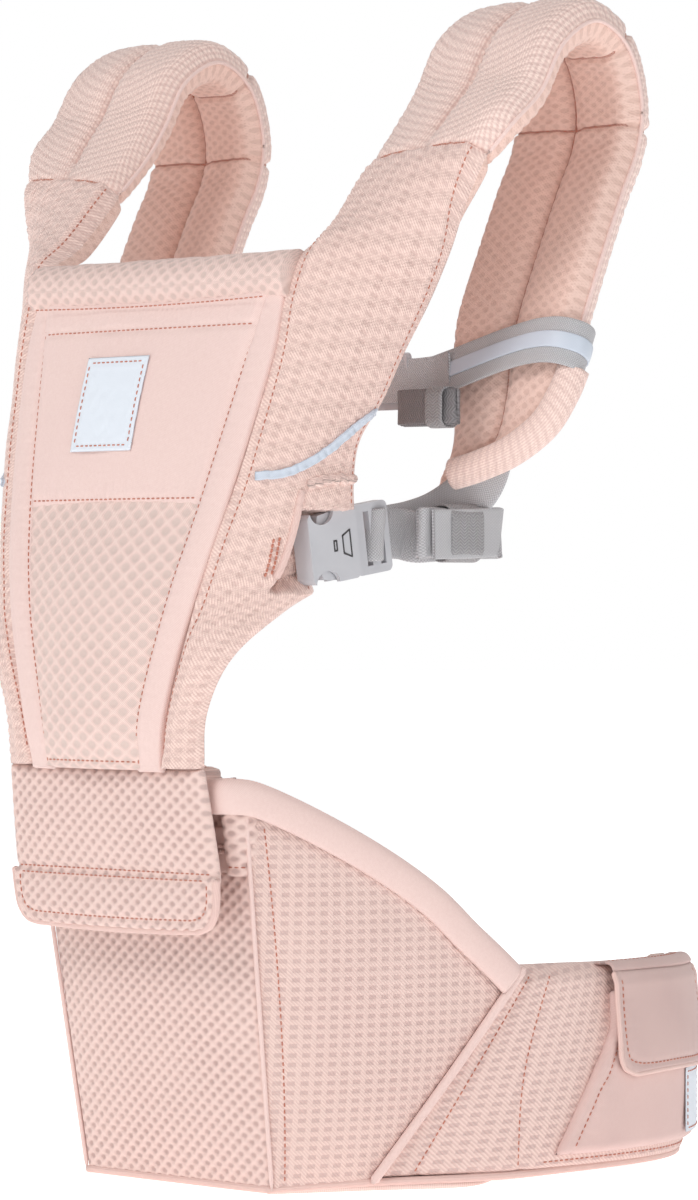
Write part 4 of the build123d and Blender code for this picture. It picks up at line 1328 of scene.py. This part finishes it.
def buckle_marks(word, body, root, ahead, outwards, length, depth):
    """Dark tubes in the grooves round a small bar and a tapered panel on the housing's outer face: painted
    shade in the gaps.
    """
    root, ahead, outwards = np.array(root), unit(np.array(ahead, float)), np.array(outwards, float)
    side = np.cross(outwards, ahead)
    face = root + outwards * (depth / 2 - 0.15)
    for kind, centre, long, near, far in (("bar", 0.52, 2.6, 5.6, 5.6), ("panel", 0.76, 6.0, 9.0, 14.0)):
        a, b = centre * length - long / 2 + 0.45, centre * length + long / 2 - 0.45
        corners = [(a, 0), (a, 0.5 - near / 2), (b, 0.5 - far / 2), (b, far / 2 - 0.5), (a, near / 2 - 0.5),
                   (a, 0)]
        points = []
        for (x0, y0), (x1, y1) in zip(corners, corners[1:]):
            for k in np.linspace(0, 1, 12, endpoint=False):
                points.append(face + ahead * (x0 + (x1 - x0) * k) + side * (y0 + (y1 - y0) * k))
        tube(f"{word}_buckle_{kind}_outline", points, 0.5, gap_shade, body, closed=True, up=outwards,
             slot="buckle_plastic", sides=8)


def waist_strap():
    web_low, web_high = box("waist_left_webbing")
    y, z = web_low[1] + 1, (web_low[2] + web_high[2]) / 2
    insert = high("waist_buckle_insert")[0]
    for name, shift, apart in (("waist_webbing_outer", 3.0, 0.6), ("waist_webbing_inner", -3.0, -0.6)):
        points = [(insert - 15, y + shift, z), (insert - 4, y + shift, z), (insert + 12, y + shift * 0.3, z),
                  (62, y + apart, z), (80, y - 4 + apart, z)]
        piece = strip(name, points, (0, 0, 1), BELT_WEB, 1.6, dark_web, None)
        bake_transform(piece)
    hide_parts("waist_left_webbing")
    path = steps_from((insert, y, z), (-15, 3, 0), (-18, 2.4, 0), (-19.5, 0, 0), (-18, -2.4, 0), (-15, -3, 0))
    strip("waist_webbing_turn", path, (0, 0, 1), BELT_WEB, 1.6, dark_web, "waist_insert", count=30)
    web_low, web_high = box("waist_right_webbing")
    path = [(web_low[0] - 4, y - 4, z), (web_low[0] + 12, y, z), (web_high[0] + 0.5, y, z)]
    far = strip("waist_fixed_webbing", path, (0, 0, 1), BELT_WEB, 1.9, dark_web, "hip_seat")
    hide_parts("waist_right_webbing")


FLAP_FOLD = 152
BAND_RISE = 2.2


def cover_flap():
    """The waffle band below the panel, and the bound flap that hangs from it."""
    bottom, top = low("cover_flap")[2], high("cover_flap")[2]
    y_at = by_height([(-92.5, bottom), (-94.5, FLAP_FOLD + 2), (-101.5, top), (-102, top + 3)])
    half_at = by_height([(67.5, bottom), (71, FLAP_FOLD), (68, top), (68, top + 3)])

    def face(z_low, z_high, forward, corner=0.0, crown=0.0):
        s, t = sheet_axes(34, 24)
        z = z_low + (z_high - z_low) * t
        rise = np.clip((z - z_low) / max(corner, 1e-3), 0, 1)
        narrow = corner * (1 - np.sqrt(1 - (1 - rise) ** 2))
        swell = crown * (1 - s**4) * np.sin(math.pi * t) ** 0.6
        sag = -1.2 * np.cos(s * math.pi / 2) * (1 - t) if corner else 0
        return grid_of(s * (half_at(z) - narrow), y_at(z) - forward - swell, z + sag)

    band = (FLAP_FOLD - 3, top + BAND_RISE)
    pad("cover_band", face(*band, 2, crown=4.5), face(*band, -3), waffle, "cover_flap", relief=waffle_relief,
        replaces=("cover_flap",), fill=0.7, flat=UPRIGHT, rim=(3, 3, 3, 2), pucker=0.4,
        seams=[[(0.01, 0.09), (0.99, 0.09)]])
    outer = face(bottom, FLAP_FOLD + 1, 4.2, corner=10, crown=2.0)
    edge = [(0.035, 0.95), (0.035, 0.42), (0.07, 0.22), (0.2, 0.2), (0.8, 0.2), (0.93, 0.22), (0.965, 0.42),
            (0.965, 0.95)]
    _, grid, _ = pad("cover_flap_cloth", outer, face(bottom, FLAP_FOLD + 1, 0, corner=10), waffle,
                     "cover_flap", relief=waffle_relief, fill=0.5, flat=UPRIGHT, rim=2, pucker=0.4,
                     seams=[edge, [(0.035, 0.93), (0.965, 0.93)]])
    tube("cover_flap_binding", curve(flap_hem(grid, 70), 260), 1.9, binding, "cover_flap")


APRON_Z = (182, 204.5)
CHEEK_Z = (152, 192)


def front_apron():
    """The padded edge of the seat's front, which the panel's foot is sewn behind, and its two sides."""
    s, t = sheet_axes(30, 12)
    z = APRON_Z[0] + (APRON_Z[1] - APRON_Z[0]) * t
    outer = grid_of(s * 59, -91 - 2.4 * t - 1.5 * np.sin(math.pi * t), z)
    pad("front_apron", outer, grid_of(s * 59, -81 - t, z), waffle, "hip_seat", rim=(0, 0, 3, 3), fill=0.6,
        relief=waffle_relief, flat=UPRIGHT)
    x, y = curve([(65, -90), (69, -90), (73.5, -88), (76.5, -83), (77.5, -76)], 20).T[..., None]
    tuck = 1 - np.linspace(0, 1, 10)
    cheek = grid_of(x - 3.5 * tuck, y + 9 * tuck, CHEEK_Z[1] - (CHEEK_Z[1] - CHEEK_Z[0]) * tuck)
    for side, word in SIDES:
        rows = mirrored(cheek, side)
        pad(f"front_{word}_cheek", rows, thick(rows, (side, -1, 0), 4.5), waffle, "hip_seat", rim=2,
            fill=0.5, relief=waffle_relief, seams=[[(0.03, 0.12), (0.97, 0.12)]], pucker=0.2)


def panel_root():
    """The cloth hinge that joins the seat's top edge to the panel's foot."""
    half = 58
    rows = curve([(-80, 198), (-86, 201.5), (-92, 204.3), (-97.5, 206), (-99.5, 212), (-99, 222)], 24)
    outer = grid_of(np.linspace(-half, half, 24)[:, None], rows[:, 0], rows[:, 1])
    outer, inner = (refine(grid, 60, 40) for grid in (outer, outer + [0, 0.8, 1.6]))
    points, faces, _, _ = shell_faces(*rounded_faces(outer, inner, (1, 1, 1, 1)))
    piece = make("panel_root_cloth", points, faces, lining, None, points[:, [0, 1]], "lining_fabric")
    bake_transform(piece)


seat_front()
for side, word in SIDES:
    seat_side(side, word)
    seat_band(side, word)
    belt_wing(side, word)
    panel_strip(side, word)
    side_wing(side, word)
    shoulder_strap(side, word)
    strap_webbing(side, word)
seat_inside()
seat_zip()
base_binding()
pouch()
cover_flap()
front_apron()
panel_front()
panel_back()
panel_root()
neck_roll()
chest_strap()
waist_strap()
for side, word in SIDES:
    buckle_marks(word, "panel", (side * 98, -66, 306), (0, 1, 0.15), (side, 0, 0), length=32, depth=11)
buckle_marks("chest", "panel", (32, 20, 389), (1, 0, 0), (0, -1, 0), length=28, depth=9)
buckle_marks("waist", "hip_seat", (-32, 216, 56), (1, 0, 0), (0, 1, 0), length=40, depth=13)

for name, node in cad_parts.items():
    if "buckle" in name or "latch" in name:
        for k in range(len(node.material_slots)):
            node.material_slots[k].material = buckle_plastic
    if name == "zip_slider":
        node.material_slots[0].material = zip_plastic

# -------- floor, light and camera

VIEW_CENTRE = np.array([0.0039, 0.0589, 0.283])
VIEW_DISTANCE = 2.5
VIEW_LENS = 150
AZIMUTH = math.radians(45)
SENSOR = 36
FLOOR_REACH = 30.0
FLOOR_Z = -0.05
FLOOR_GLOW = 0.66
SKY_SEEN, SKY_LIGHT = 1.0, 0.38


def backdrop():
    """A pale floor, wide enough to be seen from every side."""
    look = Look("pale_floor", roughness=0.9, sheen=0.0)
    speck = look.noise(40.0, 2.0)
    material = look.finish(look.mix(look.times(speck, 0.04), rgb(252, 252, 252), rgb(240, 240, 240)))
    look.shader.inputs["Emission Color"].default_value = (1, 1, 1, 1)
    look.shader.inputs["Emission Strength"].default_value = FLOOR_GLOW
    reach = np.linspace(-FLOOR_REACH, FLOOR_REACH, 9) / MM
    grid = grid_of(reach[:, None], reach, FLOOR_Z)
    floor = make("floor", grid.reshape(-1, 3), quads(np.arange(81).reshape(9, 9)), material, None)
    del floor["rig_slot"]


LIGHTS_AIM = (0, 0.05, 0.28)


def area_light(name, position, size, power):
    data = bpy.data.lights.new(name, "AREA")
    data.shape, data.size, data.energy = "SQUARE", size, power
    lamp = bpy.data.objects.new(name, data)
    bpy.context.scene.collection.objects.link(lamp)
    lamp.location = position
    toward = np.array(LIGHTS_AIM) - np.array(position)
    lamp.rotation_mode = "QUATERNION"
    lamp.rotation_quaternion = Vector(toward).to_track_quat("-Z", "Y")


def studio_sky():
    """Even white light, and a plain white behind the object."""
    world = bpy.data.worlds.new("studio")
    world.use_nodes = True
    tree = world.node_tree
    light = tree.nodes["Background"]
    light.inputs[1].default_value = SKY_LIGHT
    seen = tree.nodes.new("ShaderNodeBackground")
    seen.inputs[1].default_value = SKY_SEEN
    for shade in (light, seen):
        shade.inputs[0].default_value = (1, 1, 1, 1)
    path = tree.nodes.new("ShaderNodeLightPath")
    either = tree.nodes.new("ShaderNodeMixShader")
    tree.links.new(path.outputs["Is Camera Ray"], either.inputs[0])
    tree.links.new(light.outputs[0], either.inputs[1])
    tree.links.new(seen.outputs[0], either.inputs[2])
    tree.links.new(either.outputs[0], tree.nodes["World Output"].inputs[0])
    return world


backdrop()
area_light("key", position=(0.2, -2.0, 2.2), size=1.0, power=25)
area_light("fill", position=(2.2, -0.4, 1.2), size=1.4, power=7.5)
area_light("back", position=(-1.2, 1.8, 1.9), size=1.4, power=14)
bpy.context.scene.world = studio_sky()
bpy.context.scene.view_settings.view_transform = "Standard"

camera_data = bpy.data.cameras.new("camera")
camera_data.lens = VIEW_LENS
camera_data.sensor_width = SENSOR
camera_data.clip_end = 20
camera = bpy.data.objects.new("camera", camera_data)
bpy.context.scene.collection.objects.link(camera)
camera.location = VIEW_CENTRE + VIEW_DISTANCE * np.array([math.sin(AZIMUTH), -math.cos(AZIMUTH), 0])
camera.rotation_euler = (math.pi / 2, 0, AZIMUTH)
bpy.context.scene.camera = camera
